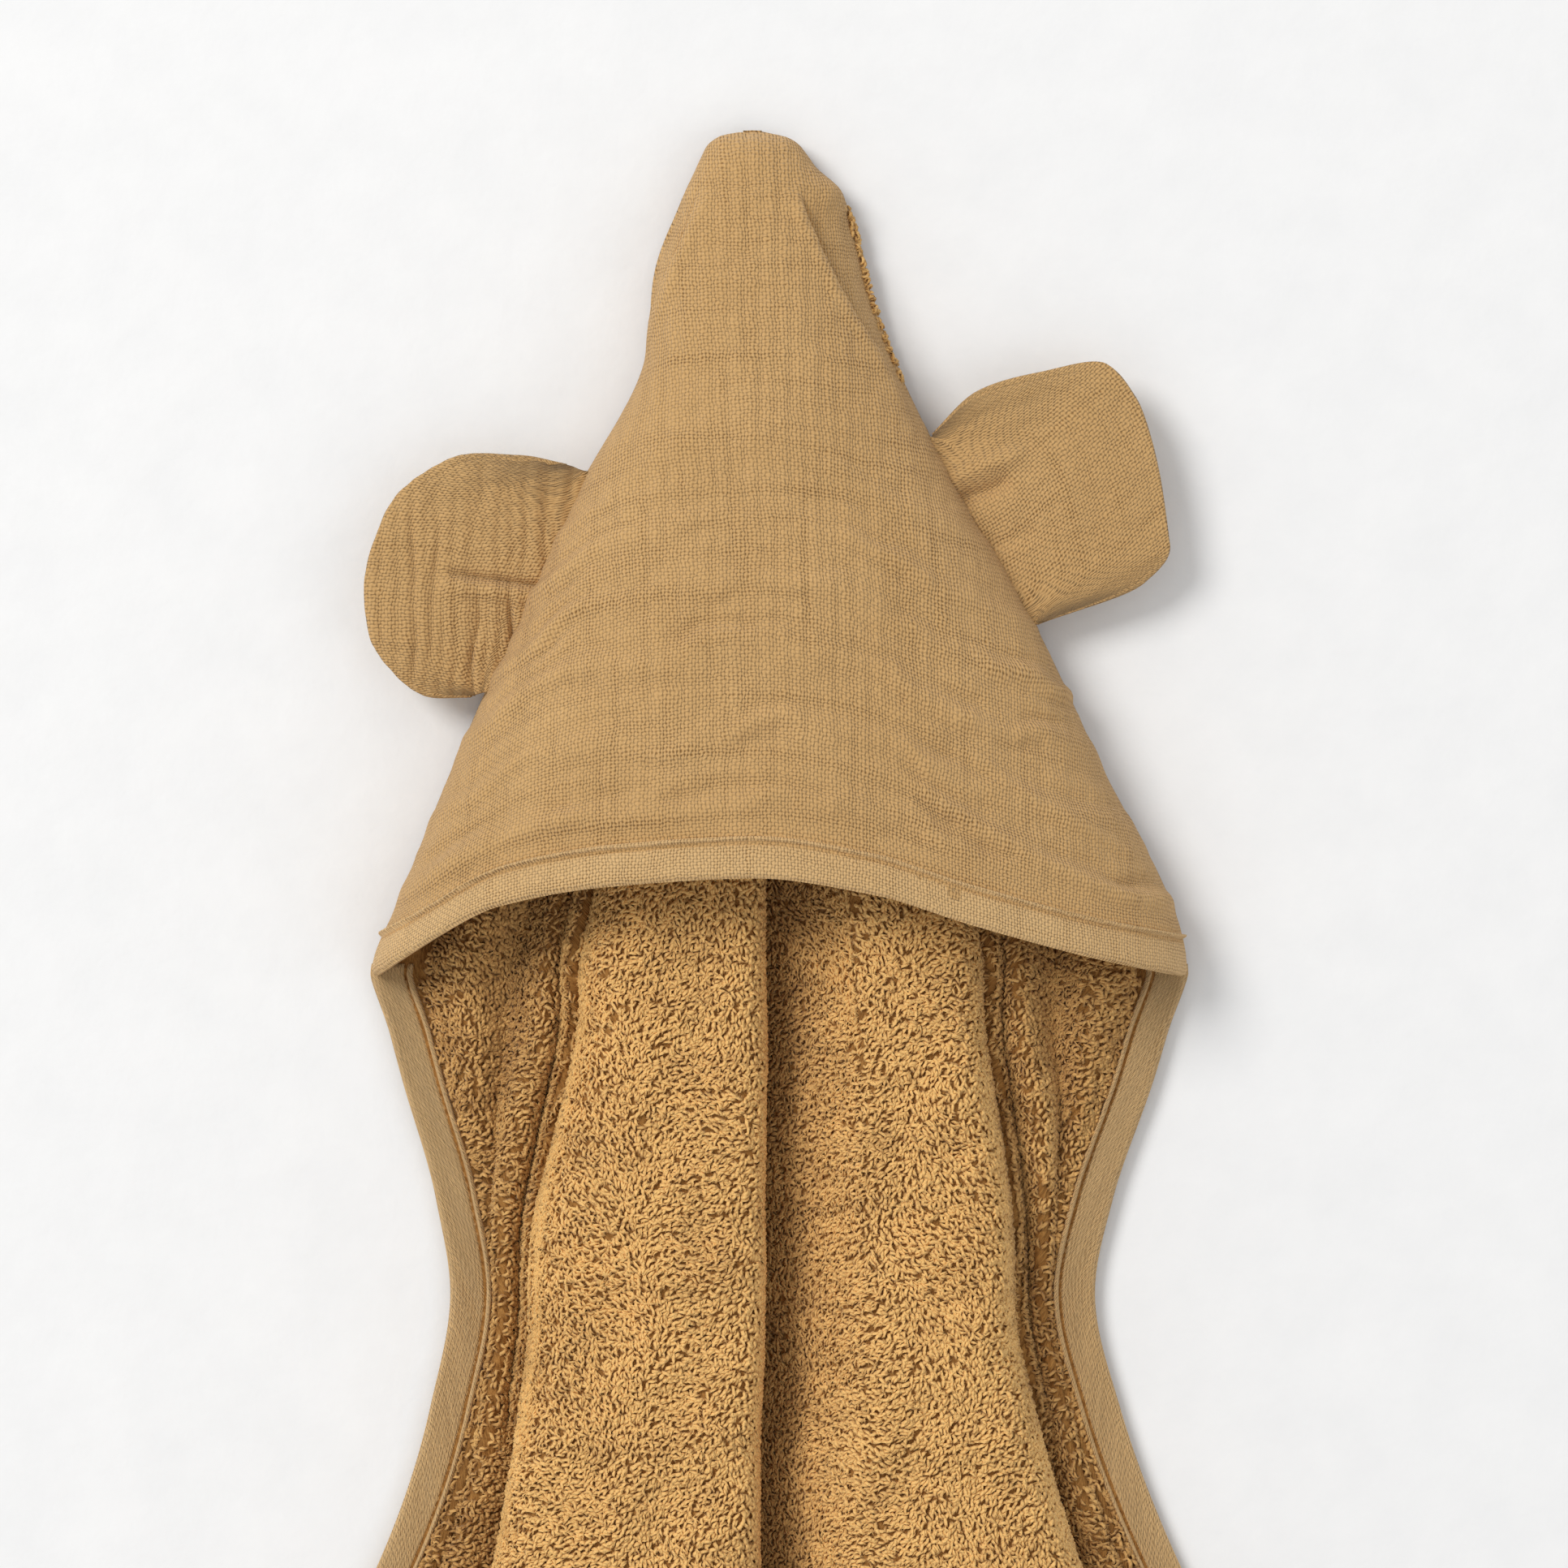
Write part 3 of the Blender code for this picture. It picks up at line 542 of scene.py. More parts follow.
def cords(name, centres, sideways, radius, tone, uv_name="OFBake"):
    """Many short cords as one mesh, from cords by rings of centres and a sideways vector each."""
    count, rings = centres.shape[:2]
    tangent = np.gradient(centres, axis=1)
    tangent /= np.maximum(np.linalg.norm(tangent, axis=-1, keepdims=True), 1e-12)
    side = np.broadcast_to(sideways[:, None], centres.shape)
    side = side - tangent * (side * tangent).sum(-1, keepdims=True)
    side = side / np.maximum(np.linalg.norm(side, axis=-1, keepdims=True), 1e-12)
    other = np.cross(tangent, side)
    turn = np.arange(CORD_SIDES) * 2 * np.pi / CORD_SIDES
    ring = side[:, :, None] * np.cos(turn)[:, None] + other[:, :, None] * np.sin(turn)[:, None]
    points = centres[:, :, None] + ring * radius[:, :, None, None]
    start = np.arange(count)[:, None, None] * rings * CORD_SIDES
    along_ring = np.arange(rings - 1)[None, :, None] * CORD_SIDES
    here = np.arange(CORD_SIDES)[None, None, :]
    after = (here + 1) % CORD_SIDES
    a = start + along_ring + here
    b = start + along_ring + after
    quads = np.stack([a, b, b + CORD_SIDES, a + CORD_SIDES], -1).reshape(-1, 4)
    cells = int(np.ceil(np.sqrt(count)))
    cell = np.arange(count)
    corner = np.stack([cell % cells, cell // cells], -1)[:, None, None, None, :]
    u = np.broadcast_to(along_ring[..., None] / CORD_SIDES, (1, rings - 1, CORD_SIDES, 1))
    v = np.broadcast_to(here[..., None], (1, rings - 1, CORD_SIDES, 1))
    steps_u = np.array([0, 0, 1, 1])
    steps_v = np.array([0, 1, 1, 0])
    uv = np.stack([(u + steps_u) / (rings - 1), (v + steps_v) / CORD_SIDES], -1)
    uv = (corner + CELL_MARGIN + uv * (1 - 2 * CELL_MARGIN)) / cells
    obj = new_mesh(name, points.reshape(-1, 3), quads, uv.reshape(-1, 2), uv_name)
    shade = np.repeat(tone, CORD_SIDES, axis=1).ravel()
    attribute = obj.data.attributes.new("tone", "FLOAT", "POINT")
    attribute.data.foreach_set("value", np.ascontiguousarray(shade, np.float32))
    return obj


def drift(x, y, seed, wavelength, octaves=3):
    """A smooth random field over the laid cloth, about -1 to 1."""
    chance = np.random.default_rng(seed)
    total = np.zeros(np.broadcast(x, y).shape)
    weight = 0.0
    for octave in range(octaves):
        for _ in range(4):
            angle, phase = chance.uniform(0, 2 * np.pi, 2)
            wave = wavelength * chance.uniform(0.7, 1.4) / 1.9**octave
            there = x * np.cos(angle) + y * np.sin(angle)
            total = total + np.sin(2 * np.pi * there / wave + phase) / 1.8**octave
        weight += 4 / 1.8**octave
    return total / weight * 1.7


def smooth_step(value, low, high):
    """0 below low, 1 above high, and an even S between them."""
    share = np.clip((np.asarray(value, float) - low) / (high - low), 0, 1)
    return share * share * (3 - 2 * share)


def crease(x, down, start, end, width, bend=0.0):
    """A rounded ridge, 1 on the line from start to end and fading at its ends."""
    start, end = np.array(start), np.array(end)
    run = end - start
    length = np.linalg.norm(run)
    run = run / length
    dx, dd = x - start[0], down - start[1]
    travelled = (dx * run[0] + dd * run[1]) / length
    off = -dx * run[1] + dd * run[0] - bend * np.sin(np.pi * np.clip(travelled, 0, 1))
    fade = smooth_step(travelled, 0.0, 0.25) * (1 - smooth_step(travelled, 0.8, 1.0))
    return np.exp(-((off / width) ** 2)) * fade


# --- materials ------------------------------------------------------------------------------


class Finish:
    """A procedural material and short ways to add its nodes."""

    def __init__(self, name, roughness, sheen):
        self.material = bpy.data.materials.new(name)
        self.material.use_nodes = True
        self.nodes = self.material.node_tree.nodes
        self.links = self.material.node_tree.links
        self.shader = self.nodes["Principled BSDF"]
        self.shader.inputs["Roughness"].default_value = roughness
        self.shader.inputs["Sheen Weight"].default_value = sheen
        self.shader.inputs["Sheen Roughness"].default_value = 0.6
        self.shader.inputs["Specular IOR Level"].default_value = 0.2

    def put(self, socket, value):
        if hasattr(value, "is_output"):
            self.links.new(value, socket)
        else:
            socket.default_value = value

    def math(self, operation, *values):
        node = self.nodes.new("ShaderNodeMath")
        node.operation = operation
        for socket, value in zip(node.inputs, values):
            self.put(socket, value)
        return node.outputs[0]

    def noise(self, vector, scale, detail=2.0, roughness=0.5):
        node = self.nodes.new("ShaderNodeTexNoise")
        self.put(node.inputs["Vector"], vector)
        node.inputs["Scale"].default_value = scale
        node.inputs["Detail"].default_value = detail
        node.inputs["Roughness"].default_value = roughness
        return node.outputs

    def mix(self, factor, first, second):
        node = self.nodes.new("ShaderNodeMix")
        node.data_type = "RGBA"
        self.put(node.inputs["Factor"], factor)
        for socket, value in zip([s for s in node.inputs if s.type == "RGBA"], (first, second)):
            self.put(socket, value)
        return [s for s in node.outputs if s.type == "RGBA"][0]

    def colour(self, factor, first, second):
        self.links.new(self.mix(factor, first, second), self.shader.inputs["Base Color"])

    def remap(self, value, low, high, to_low, to_high):
        node = self.nodes.new("ShaderNodeMapRange")
        for socket, item in zip(node.inputs, (value, low, high, to_low, to_high)):
            self.put(socket, item)
        return node.outputs[0]

    def uv(self):
        node = self.nodes.new("ShaderNodeUVMap")
        node.uv_map = "UVMap"
        return node.outputs[0]

    def stretched(self, vector, across, lengthwise):
        node = self.nodes.new("ShaderNodeVectorMath")
        node.operation = "MULTIPLY"
        self.links.new(vector, node.inputs[0])
        node.inputs[1].default_value = (across, lengthwise, 1.0)
        return node.outputs[0]

    def place(self):
        return self.nodes.new("ShaderNodeTexCoord").outputs["Object"]

    def attribute(self, name):
        node = self.nodes.new("ShaderNodeAttribute")
        node.attribute_name = name
        return node.outputs["Fac"]

    def bump(self, height, distance, strength=1.0):
        node = self.nodes.new("ShaderNodeBump")
        node.inputs["Distance"].default_value = distance
        node.inputs["Strength"].default_value = strength
        self.put(node.inputs["Height"], height)
        self.links.new(node.outputs[0], self.shader.inputs["Normal"])


def gauze(name, light, dark, pitch, open_share, relief, streak_relief):
    """A plain weave with a thread every pitch metres and small darker gaps between the threads.

    The threads sway a little, and streaks of looser weave run both ways.
    """
    finish = Finish(name, 0.88, 0.12)
    math, remap = finish.math, finish.remap
    place = finish.uv()
    sway = finish.noise(place, 70.0, 3.0, 0.55)[1]
    fine = finish.noise(place, 420.0, 2.0, 0.6)[1]
    split = finish.nodes.new("ShaderNodeSeparateXYZ")
    finish.links.new(place, split.inputs[0])
    swayed = finish.nodes.new("ShaderNodeSeparateColor")
    finish.links.new(sway, swayed.inputs[0])
    rough = finish.nodes.new("ShaderNodeSeparateColor")
    finish.links.new(fine, rough.inputs[0])
    waves = []
    for axis in (0, 1):
        threads = math("DIVIDE", split.outputs[axis], pitch)
        threads = math("MULTIPLY_ADD", swayed.outputs[axis], 2.6, threads)
        threads = math("MULTIPLY_ADD", rough.outputs[axis], 0.9, threads)
        waves.append(math("SINE", math("MULTIPLY", threads, float(np.pi))))
    checker = math("MULTIPLY", *waves)
    across, lengthwise = (math("ABSOLUTE", wave) for wave in waves)
    gap = math("MULTIPLY", math("SUBTRACT", 1.0, across), math("SUBTRACT", 1.0, lengthwise))
    patch = finish.noise(place, 55.0, 4.0, 0.6)[0]
    openness = remap(patch, 0.35, 0.7, open_share * 0.7, open_share * 1.4)
    rows = finish.noise(finish.stretched(place, 14.0, 230.0), 1.0, 2.0, 0.5)[0]
    lines = finish.noise(finish.stretched(place, 260.0, 12.0), 1.0, 2.0, 0.5)[0]
    row_streaks = remap(rows, 0.45, 0.75, 0.5, 1.9)
    line_streaks = remap(lines, 0.45, 0.75, 0.5, 1.7)
    openness = math("MULTIPLY", openness, math("MAXIMUM", row_streaks, line_streaks))
    shown = math("MULTIPLY", math("POWER", gap, 0.7), openness)
    shown = math("ADD", shown, remap(checker, -1.0, 1.0, 0.13, -0.03))
    patchy = finish.noise(place, 22.0, 3.0, 0.5)[0]
    pale = finish.mix(remap(patchy, 0.3, 0.7, 0.0, 1.0), *light)
    finish.colour(shown, pale, dark)
    height = math("ADD", across, math("MULTIPLY", lengthwise, 0.7))
    height = math("MULTIPLY_ADD", checker, 0.5, height)
    height = math("MULTIPLY_ADD", rows, streak_relief, height)
    finish.bump(height, relief)
    return finish.material


def terry_ground(name):
    """The woven ground between the loops: dark, with a knotted relief."""
    finish = Finish(name, 0.95, 0.0)
    place = finish.uv()
    knots = finish.noise(place, 520.0, 3.0, 0.6)[0]
    slow = finish.noise(place, 40.0, 3.0, 0.5)[0]
    tone = finish.math("MULTIPLY_ADD", slow, 0.35, finish.remap(knots, 0.3, 0.75, -0.1, 0.85))
    finish.colour(tone, GROUND_DARK, GROUND_LIGHT)
    finish.bump(knots, 0.0016)
    return finish.material


def terry_loops(name):
    """The loops' yarn, lighter at the crown of a loop than at its roots: painted shade, carried by
    the tone attribute together with painted shade in the cloth's low places and random tone.
    """
    finish = Finish(name, 0.92, 0.08)
    tone = finish.attribute("tone")
    fuzz = finish.noise(finish.place(), 1500.0, 1.0, 0.5)[0]
    shade = finish.math("ADD", tone, finish.remap(fuzz, 0.3, 0.7, -0.07, 0.07))
    finish.colour(shade, LOOP_DARK, LOOP_LIGHT)
    finish.bump(fuzz, 0.0003)
    return finish.material


def sewing_thread(name):
    finish = Finish(name, 0.6, 0.1)
    strands = finish.noise(finish.place(), 2600.0, 1.0, 0.5)[0]
    finish.colour(finish.remap(strands, 0.35, 0.65, 0.0, 1.0), THREAD_DARK, THREAD_LIGHT)
    finish.bump(strands, 0.0001)
    return finish.material


def plaster(name):
    """The pale surface under the towel, with faint trowel marks."""
    finish = Finish(name, 0.9, 0.0)
    place = finish.place()
    marks = finish.noise(place, 42.0, 5.0, 0.62)[0]
    finish.colour(finish.remap(marks, 0.3, 0.7, 0.0, 1.0), FLOOR_DARK, FLOOR_LIGHT)
    finish.bump(marks, 0.0010, 0.5)
    return finish.material


# --- shapes ---------------------------------------------------------------------------------


def cloth_line(share, down):
    """A line across the terry: the cloth's edge lies inside its binding below the neck."""
    inset = TUCKED_LINES * smooth_step(down, NECK_DOWN, NECK_DOWN + 0.02)
    return inset + (LAST_LINE - 2 * inset) * share


def terry_grid(columns, rows):
    """The terry's middle as a grid, with soft unevenness and the narrow pleats beside the rolls."""
    share = np.linspace(0, 1, columns)[None, :]
    lengthwise = np.linspace(0, 1, rows)[:, None]
    end = hem_down(cloth_line(share, LAID_LENGTH)) - HEM_TUCK
    down = TERRY_START + (end - TERRY_START) * lengthwise
    line = cloth_line(share, down)
    points = terry_point(line, down)
    x, y = points[..., 0].copy(), points[..., 1].copy()
    from_edge = np.minimum(line, LAST_LINE - line)
    free = smooth_step(from_edge, 1.0, 3.0) * smooth_step(end - down, 0.0, 0.05)
    free = free * smooth_step(down, NECK_DOWN - 0.05, NECK_DOWN + 0.03)
    lift = points[..., 2] - FLOOR_LEVEL
    soft = drift(x, y, 11, 0.11) * 0.0030 + drift(x, y, 12, 0.030) * 0.0010
    raised = np.clip(lift / ROLL_HEIGHT, 0, 1)
    points[..., 2] += soft * free * (0.25 + 0.75 * raised)
    points[..., 0] += drift(x, y, 13, 0.16) * 0.0022 * free * raised
    shown = smooth_step(down, 0.20, 0.23) * (1 - smooth_step(down, 0.36, 0.40))
    for side in (-1, 1):
        strap = roll_outside(down, side) + STRAP_OUT - 0.0015 * smooth_step(down, 0.25, 0.35)
        off = side * points[..., 0] - strap
        points[..., 2] += STRAP_HEIGHT * shown * np.exp(-((off / STRAP_WIDTH) ** 2))
        points[..., 2] -= 1.6 * STRAP_HEIGHT * shown * np.exp(-(((off - 0.0044) / 0.0024) ** 2))
        points[..., 2] -= STRAP_HEIGHT * shown * np.exp(-(((off + 0.0030) / 0.0014) ** 2))
    points[..., 2] = np.maximum(points[..., 2], FLOOR_LEVEL)
    return points, line, down


def hood_grid(columns, rows, start, end_gap, inset):
    """The hood's arch as a grid, from near its tip to a gap before its mouth."""
    turn = np.linspace(0, 1, columns)[None, :]
    lengthwise = np.linspace(0, 1, rows)[:, None]
    end = mouth_down(turn) - end_gap
    down = start + (end - start) * lengthwise**1.15
    turn = np.broadcast_to(turn, down.shape)
    return hood_point(turn, down, inset), turn, down


def muslin_relief(points, turn, down):
    """How far the hood's cloth stands off its plain arch, in metres."""
    x = points[..., 0]
    from_mouth = mouth_down(turn) - down
    lower = smooth_step(down, 0.07, 0.17)
    sides = np.abs(2 * turn - 1)
    wobble = drift(x, down, 21, 0.07) * 2.2
    rows = np.sin(2 * np.pi * from_mouth / 0.0105 + wobble * 1.6 + drift(x, down, 22, 0.03) * 0.9)
    broad = np.sin(2 * np.pi * from_mouth / 0.021 + wobble + 1.0)
    strength = 0.35 + 0.65 * smooth_step(drift(x, down, 23, 0.05), -0.4, 0.7)
    relief = (0.00112 * rows + 0.00155 * broad) * strength * lower * (0.45 + 0.55 * sides)
    lines = np.sin(2 * np.pi * x / 0.0046 + drift(x, down, 24, 0.06) * 1.7)
    relief += 0.00014 * lines * (1 - 0.6 * sides)
    relief += drift(x, down, 25, 0.012, 2) * 0.00024 + drift(x, down, 26, 0.05) * 0.0008
    for start, end, width, height, bend in TUCKS:
        relief += height * crease(x, down, start, end, width, bend)
    begins = smooth_step(down, 0.016, 0.028)
    for way, line, depth, fades_at, crest in FOLDS:
        past = way * (x - smooth_curve(down, *line))
        shown = begins * (1 - smooth_step(down, fades_at, fades_at + 0.020))
        relief -= depth * smooth_step(past, 0, 0.0022) * shown
        relief += 0.0010 * np.exp(-(((past + crest) / 0.002) ** 2)) * shown
    return relief * smooth_step(from_mouth, BINDING_WIDTH * 0.98, BINDING_WIDTH * 1.8)


def binding_profile(share):
    """Half thickness of a wrapped band, 0 at its free rim and 1 at its sewn edge."""
    rim = np.sqrt(np.clip(1 - (1 - np.clip(share / 0.16, 0, 1)) ** 2, 0, 1))
    end = np.sqrt(np.clip(1 - (np.clip((share - 0.90) / 0.10, 0, 1)) ** 2, 0, 1))
    groove = np.exp(-(((share - STITCH_SHARE) / 0.032) ** 2))
    ridge = np.exp(-(((share - 0.90) / 0.05) ** 2))
    level = (0.80 + 0.62 * ridge - 0.62 * groove) * rim * (0.25 + 0.75 * end)
    return BINDING_THICKNESS / 2 * level


def puckers(travelled, share, seed):
    """The small pulls that stitches make beside a seam."""
    near = np.exp(-(((share - STITCH_SHARE) / 0.16) ** 2))
    steps = np.sin(2 * np.pi * travelled / STITCH_LENGTH) * 0.00008
    slow = drift(travelled, travelled * 0.3 + share * 0.004, seed, 0.03, 2)
    return steps * near + slow * 0.00022


def places_of(points):
    """Where each grid point lies on the flat cloth, in metres."""
    return np.stack([lengths_along(points, 1), lengths_along(points, 0)], -1)


def pile_on(points, line_mask, rng, per_mm2):
    """Random spots on a grid, evenly by area, and the grid's normals there."""
    a = points[:-1, :-1]
    one = points[:-1, 1:] - a
    two = points[1:, :-1] - a
    area = np.linalg.norm(np.cross(one, two), axis=-1) * 1e6
    wanted = area * per_mm2 * line_mask[:-1, :-1]
    count = np.floor(wanted + rng.random(wanted.shape)).astype(int)
    rows, columns = np.nonzero(count)
    repeat = count[rows, columns]
    rows, columns = np.repeat(rows, repeat), np.repeat(columns, repeat)
    u, v = rng.random(len(rows))[:, None], rng.random(len(rows))[:, None]
    normal = upward_normals(points)
    spot = a[rows, columns] + one[rows, columns] * u + two[rows, columns] * v
    return spot, normal[rows, columns]


def loop_pile(name, spot, normal, rng, size, shade, outward=1.0):
    """Curled loops of yarn standing on spots of cloth, in patches that lean the same way."""
    count = len(spot)
    x, y = spot[:, 0], spot[:, 1]
    angle = 1.15 + 1.5 * drift(x, y, 31, 0.075, 2) + rng.normal(0, 0.38, count)
    flat = np.stack([np.cos(angle), np.sin(angle), np.zeros(count)], -1)
    run = flat - normal * (flat * normal).sum(-1, keepdims=True)
    run /= np.maximum(np.linalg.norm(run, axis=-1, keepdims=True), 1e-9)
    side = np.cross(normal, run)
    length = rng.uniform(0.0024, 0.0036, count) * size
    height = rng.uniform(0.0010, 0.0016, count) * size
    thick = rng.uniform(0.00052, 0.00070, count) * size
    along_loop = np.linspace(0, 1, LOOP_RINGS)[None, :]
    bow = np.sin(np.pi * along_loop) ** 0.75
    sway = rng.normal(0, 0.0005, count)[:, None] * size
    lean = rng.normal(0, 0.0005, count)[:, None] * size
    centres = (
        spot[:, None]
        + run[:, None] * ((along_loop - 0.5) * length[:, None] * 0.86)[..., None]
        + normal[:, None] * ((bow * height[:, None] - 0.0003) * outward)[..., None]
        + side[:, None] * (sway * np.sin(2 * np.pi * along_loop) + lean * bow)[..., None]
    )
    radius = thick[:, None] * (0.72 + 0.28 * np.sin(np.pi * along_loop))
    # Painted shade: each loop is darker towards its roots, where it goes down into the pile; the
    # noise adds random tone.
    tone = shade[:, None] * (0.45 + 0.55 * bow) + rng.normal(0, 0.08, count)[:, None]
    return cords(name, centres, side, radius, tone)


def stitches(name, points, side, normal):
    """Separate stitches along a line of points, each bowed up between its two holes."""
    steps = np.linalg.norm(np.diff(points, axis=0), axis=1)
    travelled = np.concatenate([[0], np.cumsum(steps)])
    starts = np.arange(STITCH_LENGTH / 2, travelled[-1] - STITCH_LENGTH, STITCH_LENGTH)
    share = np.linspace(0, 1, 5)

    def picked(values, at):
        return np.stack([np.interp(at, travelled, values[:, k]) for k in range(3)], -1)

    centre = picked(points, starts[:, None] + share * STITCH_LENGTH * STITCHED_SHARE)
    up = picked(normal, starts)
    up /= np.linalg.norm(up, axis=-1, keepdims=True)
    bow = np.sin(np.pi * share) ** 0.6
    centre = centre + up[:, None] * (bow * 0.00042 - 0.00022)[None, :, None]
    radius = np.broadcast_to(THREAD_RADIUS * (0.35 + 0.65 * bow), centre.shape[:2])
    # Painted shade: each stitch's tone is darker towards its holes, where it sinks into the cloth.
    # The thread's material does not read this tone.
    tone = np.broadcast_to(0.4 + 0.6 * bow, centre.shape[:2])
    return cords(name, centre, picked(side, starts), radius, tone)


def binding_seam(name, points, half, spare):
    """The stitches on a binding's grid of points, leaving out spare stations at each end."""
    row = int(round(STITCH_SHARE * (BAND_POINTS - 1)))
    normal = upward_normals(points)
    line = points[:, row] + normal[:, row] * (half[:, row, None] + THREAD_RADIUS * 0.7)
    side = points[:, row + 1] - points[:, row]
    side /= np.maximum(np.linalg.norm(side, axis=-1, keepdims=True), 1e-9)
    sewn = slice(spare, -spare)
    return stitches(name, line[sewn], side[sewn], normal[sewn, row])


# --- the object -----------------------------------------------------------------------------


def use(obj, material, bends, body=None):
    """Give a piece its material, and either bake its place into its mesh or attach it to a body to
    ride on.
    """
    obj.data.materials.append(material)
    if bends:
        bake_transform(obj)
    else:
        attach(obj, body)
    return obj


def make_towel(finishes, rng):
    """The terry as one cloth from the hood's tip to the hem, with the loops that can be seen."""
    points, line, down = terry_grid(*TOWEL_GRID)
    thick = TERRY_THICKNESS / 2
    cloth = shell("towel_terry", points, thick, thick, places_of(points))
    use(cloth, finishes["ground"], True)
    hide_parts("terry_body", "terry_hood")
    from_edge = np.minimum(line, LAST_LINE - line)
    width = np.where(line < CENTRE_LINE, towel_edge(down, -1), towel_edge(down, 1))
    inward = width - np.abs(points[..., 0])
    inside_binding = (from_edge > PILE_LINES) & (inward > BINDING_WIDTH + 0.0004)
    clear_of_hem = (down[-1:] - down) > BINDING_WIDTH * MITRE_STRETCH - HEM_TUCK + 0.002
    in_hood, at_mouth = (from_edge > lines for lines in SEAM_PILE_LINES)
    clear_of_seam = in_hood | (down > NECK_DOWN - MOUTH_REACH) & at_mouth | (down > NECK_DOWN)
    shown = smooth_step(down, 0.190, 0.205) * inside_binding * clear_of_hem * clear_of_seam
    fine = shown * (down < FINE_PILE_DOWN)
    coarse = shown * (down >= FINE_PILE_DOWN)
    pieces = []
    for mask, (per_mm2, size), label in ((fine, NEAR_PILE, "near"), (coarse, FAR_PILE, "far")):
        spot, normal = pile_on(points, mask, rng, per_mm2)
        spot = spot + normal * thick
        order = np.argsort(-spot[:, 1])
        spot, normal = spot[order], normal[order]
        x, y = spot[:, 0], spot[:, 1]
        # Painted shade: loops lying low on the cloth, in the valley between the rolls and the
        # strips beside them, are painted darker than those high on the rolls; patches adds random
        # tone.
        low = smooth_step(spot[:, 2], 0.003, 0.022)
        patches = 0.15 * drift(x, y, 41, 0.045) + 0.10 * drift(x, y, 42, 0.012, 2)
        shade = 0.50 + 0.48 * low + patches
        count = len(spot)
        parts = int(np.ceil(count / LOOPS_PER_PIECE))
        for part in range(parts):
            some = slice(part * count // parts, (part + 1) * count // parts)
            name = f"towel_loops_{label}_{part + 1:02d}"
            pile = loop_pile(name, spot[some], normal[some], rng, size, shade[some])
            use(pile, finishes["loops"], True)
            pieces.append(pile)
    top = slice(0, int(TOWEL_GRID[1] * 0.30))
    behind = smooth_step(inward[top], 0.004, 0.006) * (down[top] < NECK_DOWN - 0.004)
    spot, normal = pile_on(points[top], behind, rng, BACK_PILE)
    spot = spot - normal * thick
    shade = 0.70 + 0.2 * drift(spot[:, 0], spot[:, 1], 44, 0.04)
    back = loop_pile("hood_back_loops", spot, -normal, rng, 1.0, shade, 0.4)
    use(back, finishes["loops"], True)
    return cloth, [*pieces, back]


def make_hood(finishes, rng):
    """The muslin and, behind it, the terry lining with its loops turned inwards."""
    points, turn, down = hood_grid(*HOOD_GRID, TIP_START, BINDING_WIDTH * 0.45, 0.0)
    places = places_of(points)
    bowed = (mouth_down(turn) - MOUTH_TOP_DOWN) * smooth_step(down, 0.03, 0.22)
    places[..., 1] = down - bowed
    normal = upward_normals(points)
    seam = np.sin(np.pi * turn) ** SEAM_FADE
    points = points + normal * (muslin_relief(points, turn, down) * seam)[..., None]
    half = MUSLIN_THICKNESS / 2
    front = shell("hood_muslin", points, half, half, places)
    use(front, finishes["muslin"], False, "hood")
    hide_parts("hood_front")

    between = (MUSLIN_THICKNESS + LINING_THICKNESS) / 2 + CLEARANCE * 3
    end_gap = BINDING_WIDTH + CLEARANCE
    inner, turn, down = hood_grid(*LINING_GRID, LINING_START, end_gap, between)
    inner_normal = upward_normals(inner)
    sunk = np.minimum(muslin_relief(inner, turn, down), 0.0)
    inner = inner + inner_normal * (sunk * np.sin(np.pi * turn) ** SEAM_FADE)[..., None]
    half = LINING_THICKNESS / 2
    lining = shell("hood_terry_lining", inner, half, half, places_of(inner))
    use(lining, finishes["ground"], False, "hood")
    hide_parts("hood_lining")
    mask = smooth_step(down, 0.09, 0.15)
    spot, normal = pile_on(inner, mask, rng, LINING_PILE)
    spot = spot - normal * half
    shade = 0.62 + 0.2 * drift(spot[:, 0], spot[:, 1], 43, 0.04)
    pile = loop_pile("hood_lining_loops", spot, -normal, rng, 1.25, shade)
    use(pile, finishes["loops"], False, "hood")
    return front, lining, pile


def make_fringe(finishes, rng):
    """Loops of the terry behind the hood that show past its right seam, near the tip."""
    count = FRINGE_LOOPS
    down = rng.uniform(0.022, 0.074, count)
    out = rng.uniform(-0.0030, 0.0005, count)
    x = hood_middle(down) + hood_side(down, 1) + out
    z = rng.uniform(0.0022, 0.0060, count)
    spot = np.stack([x, along(down), z], -1)
    outward = [np.full(count, 0.75), np.full(count, 0.15), rng.uniform(0.2, 1.0, count)]
    normal = np.stack(outward, -1)
    normal /= np.linalg.norm(normal, axis=-1, keepdims=True)
    shade = rng.uniform(0.65, 1.0, count)
    fringe = loop_pile("hood_seam_loops", spot, normal, rng, 0.95, shade)
    use(fringe, finishes["loops"], False, "hood")
    return fringe


def make_hood_edge(finishes):
    """The tape along the hood's mouth, thinner where it ends at the corners."""
    turn = np.linspace(0, 1, EDGE_STATIONS)[:, None]
    share = np.linspace(0, 1, BAND_POINTS)[None, :]
    width = BINDING_WIDTH - CLEARANCE
    points = hood_point(turn, mouth_down(turn) - width * share, BINDING_SINK)
    travelled = lengths_along(points, 0)
    relief = puckers(travelled, share, 51)
    from_corner = smooth_step(np.minimum(turn, 1 - turn), 0.0, 0.035)
    half = binding_profile(share) * (0.18 + 0.82 * from_corner)
    half = half + relief * smooth_step(share, 0, 0.2) * from_corner
    places = np.stack([travelled, np.broadcast_to(share * width, travelled.shape)], -1)
    edge = shell("hood_edge_band", points, half, binding_profile(share) * BAND_BACK, places)
    use(edge, finishes["binding"], False, "hood")
    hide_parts("hood_edge_binding")
    seam = binding_seam("hood_edge_stitches", points, half, EDGE_STATIONS // 30)
    use(seam, finishes["thread"], False, "hood")
    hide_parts("stitch_hood_edge")
    return edge, seam


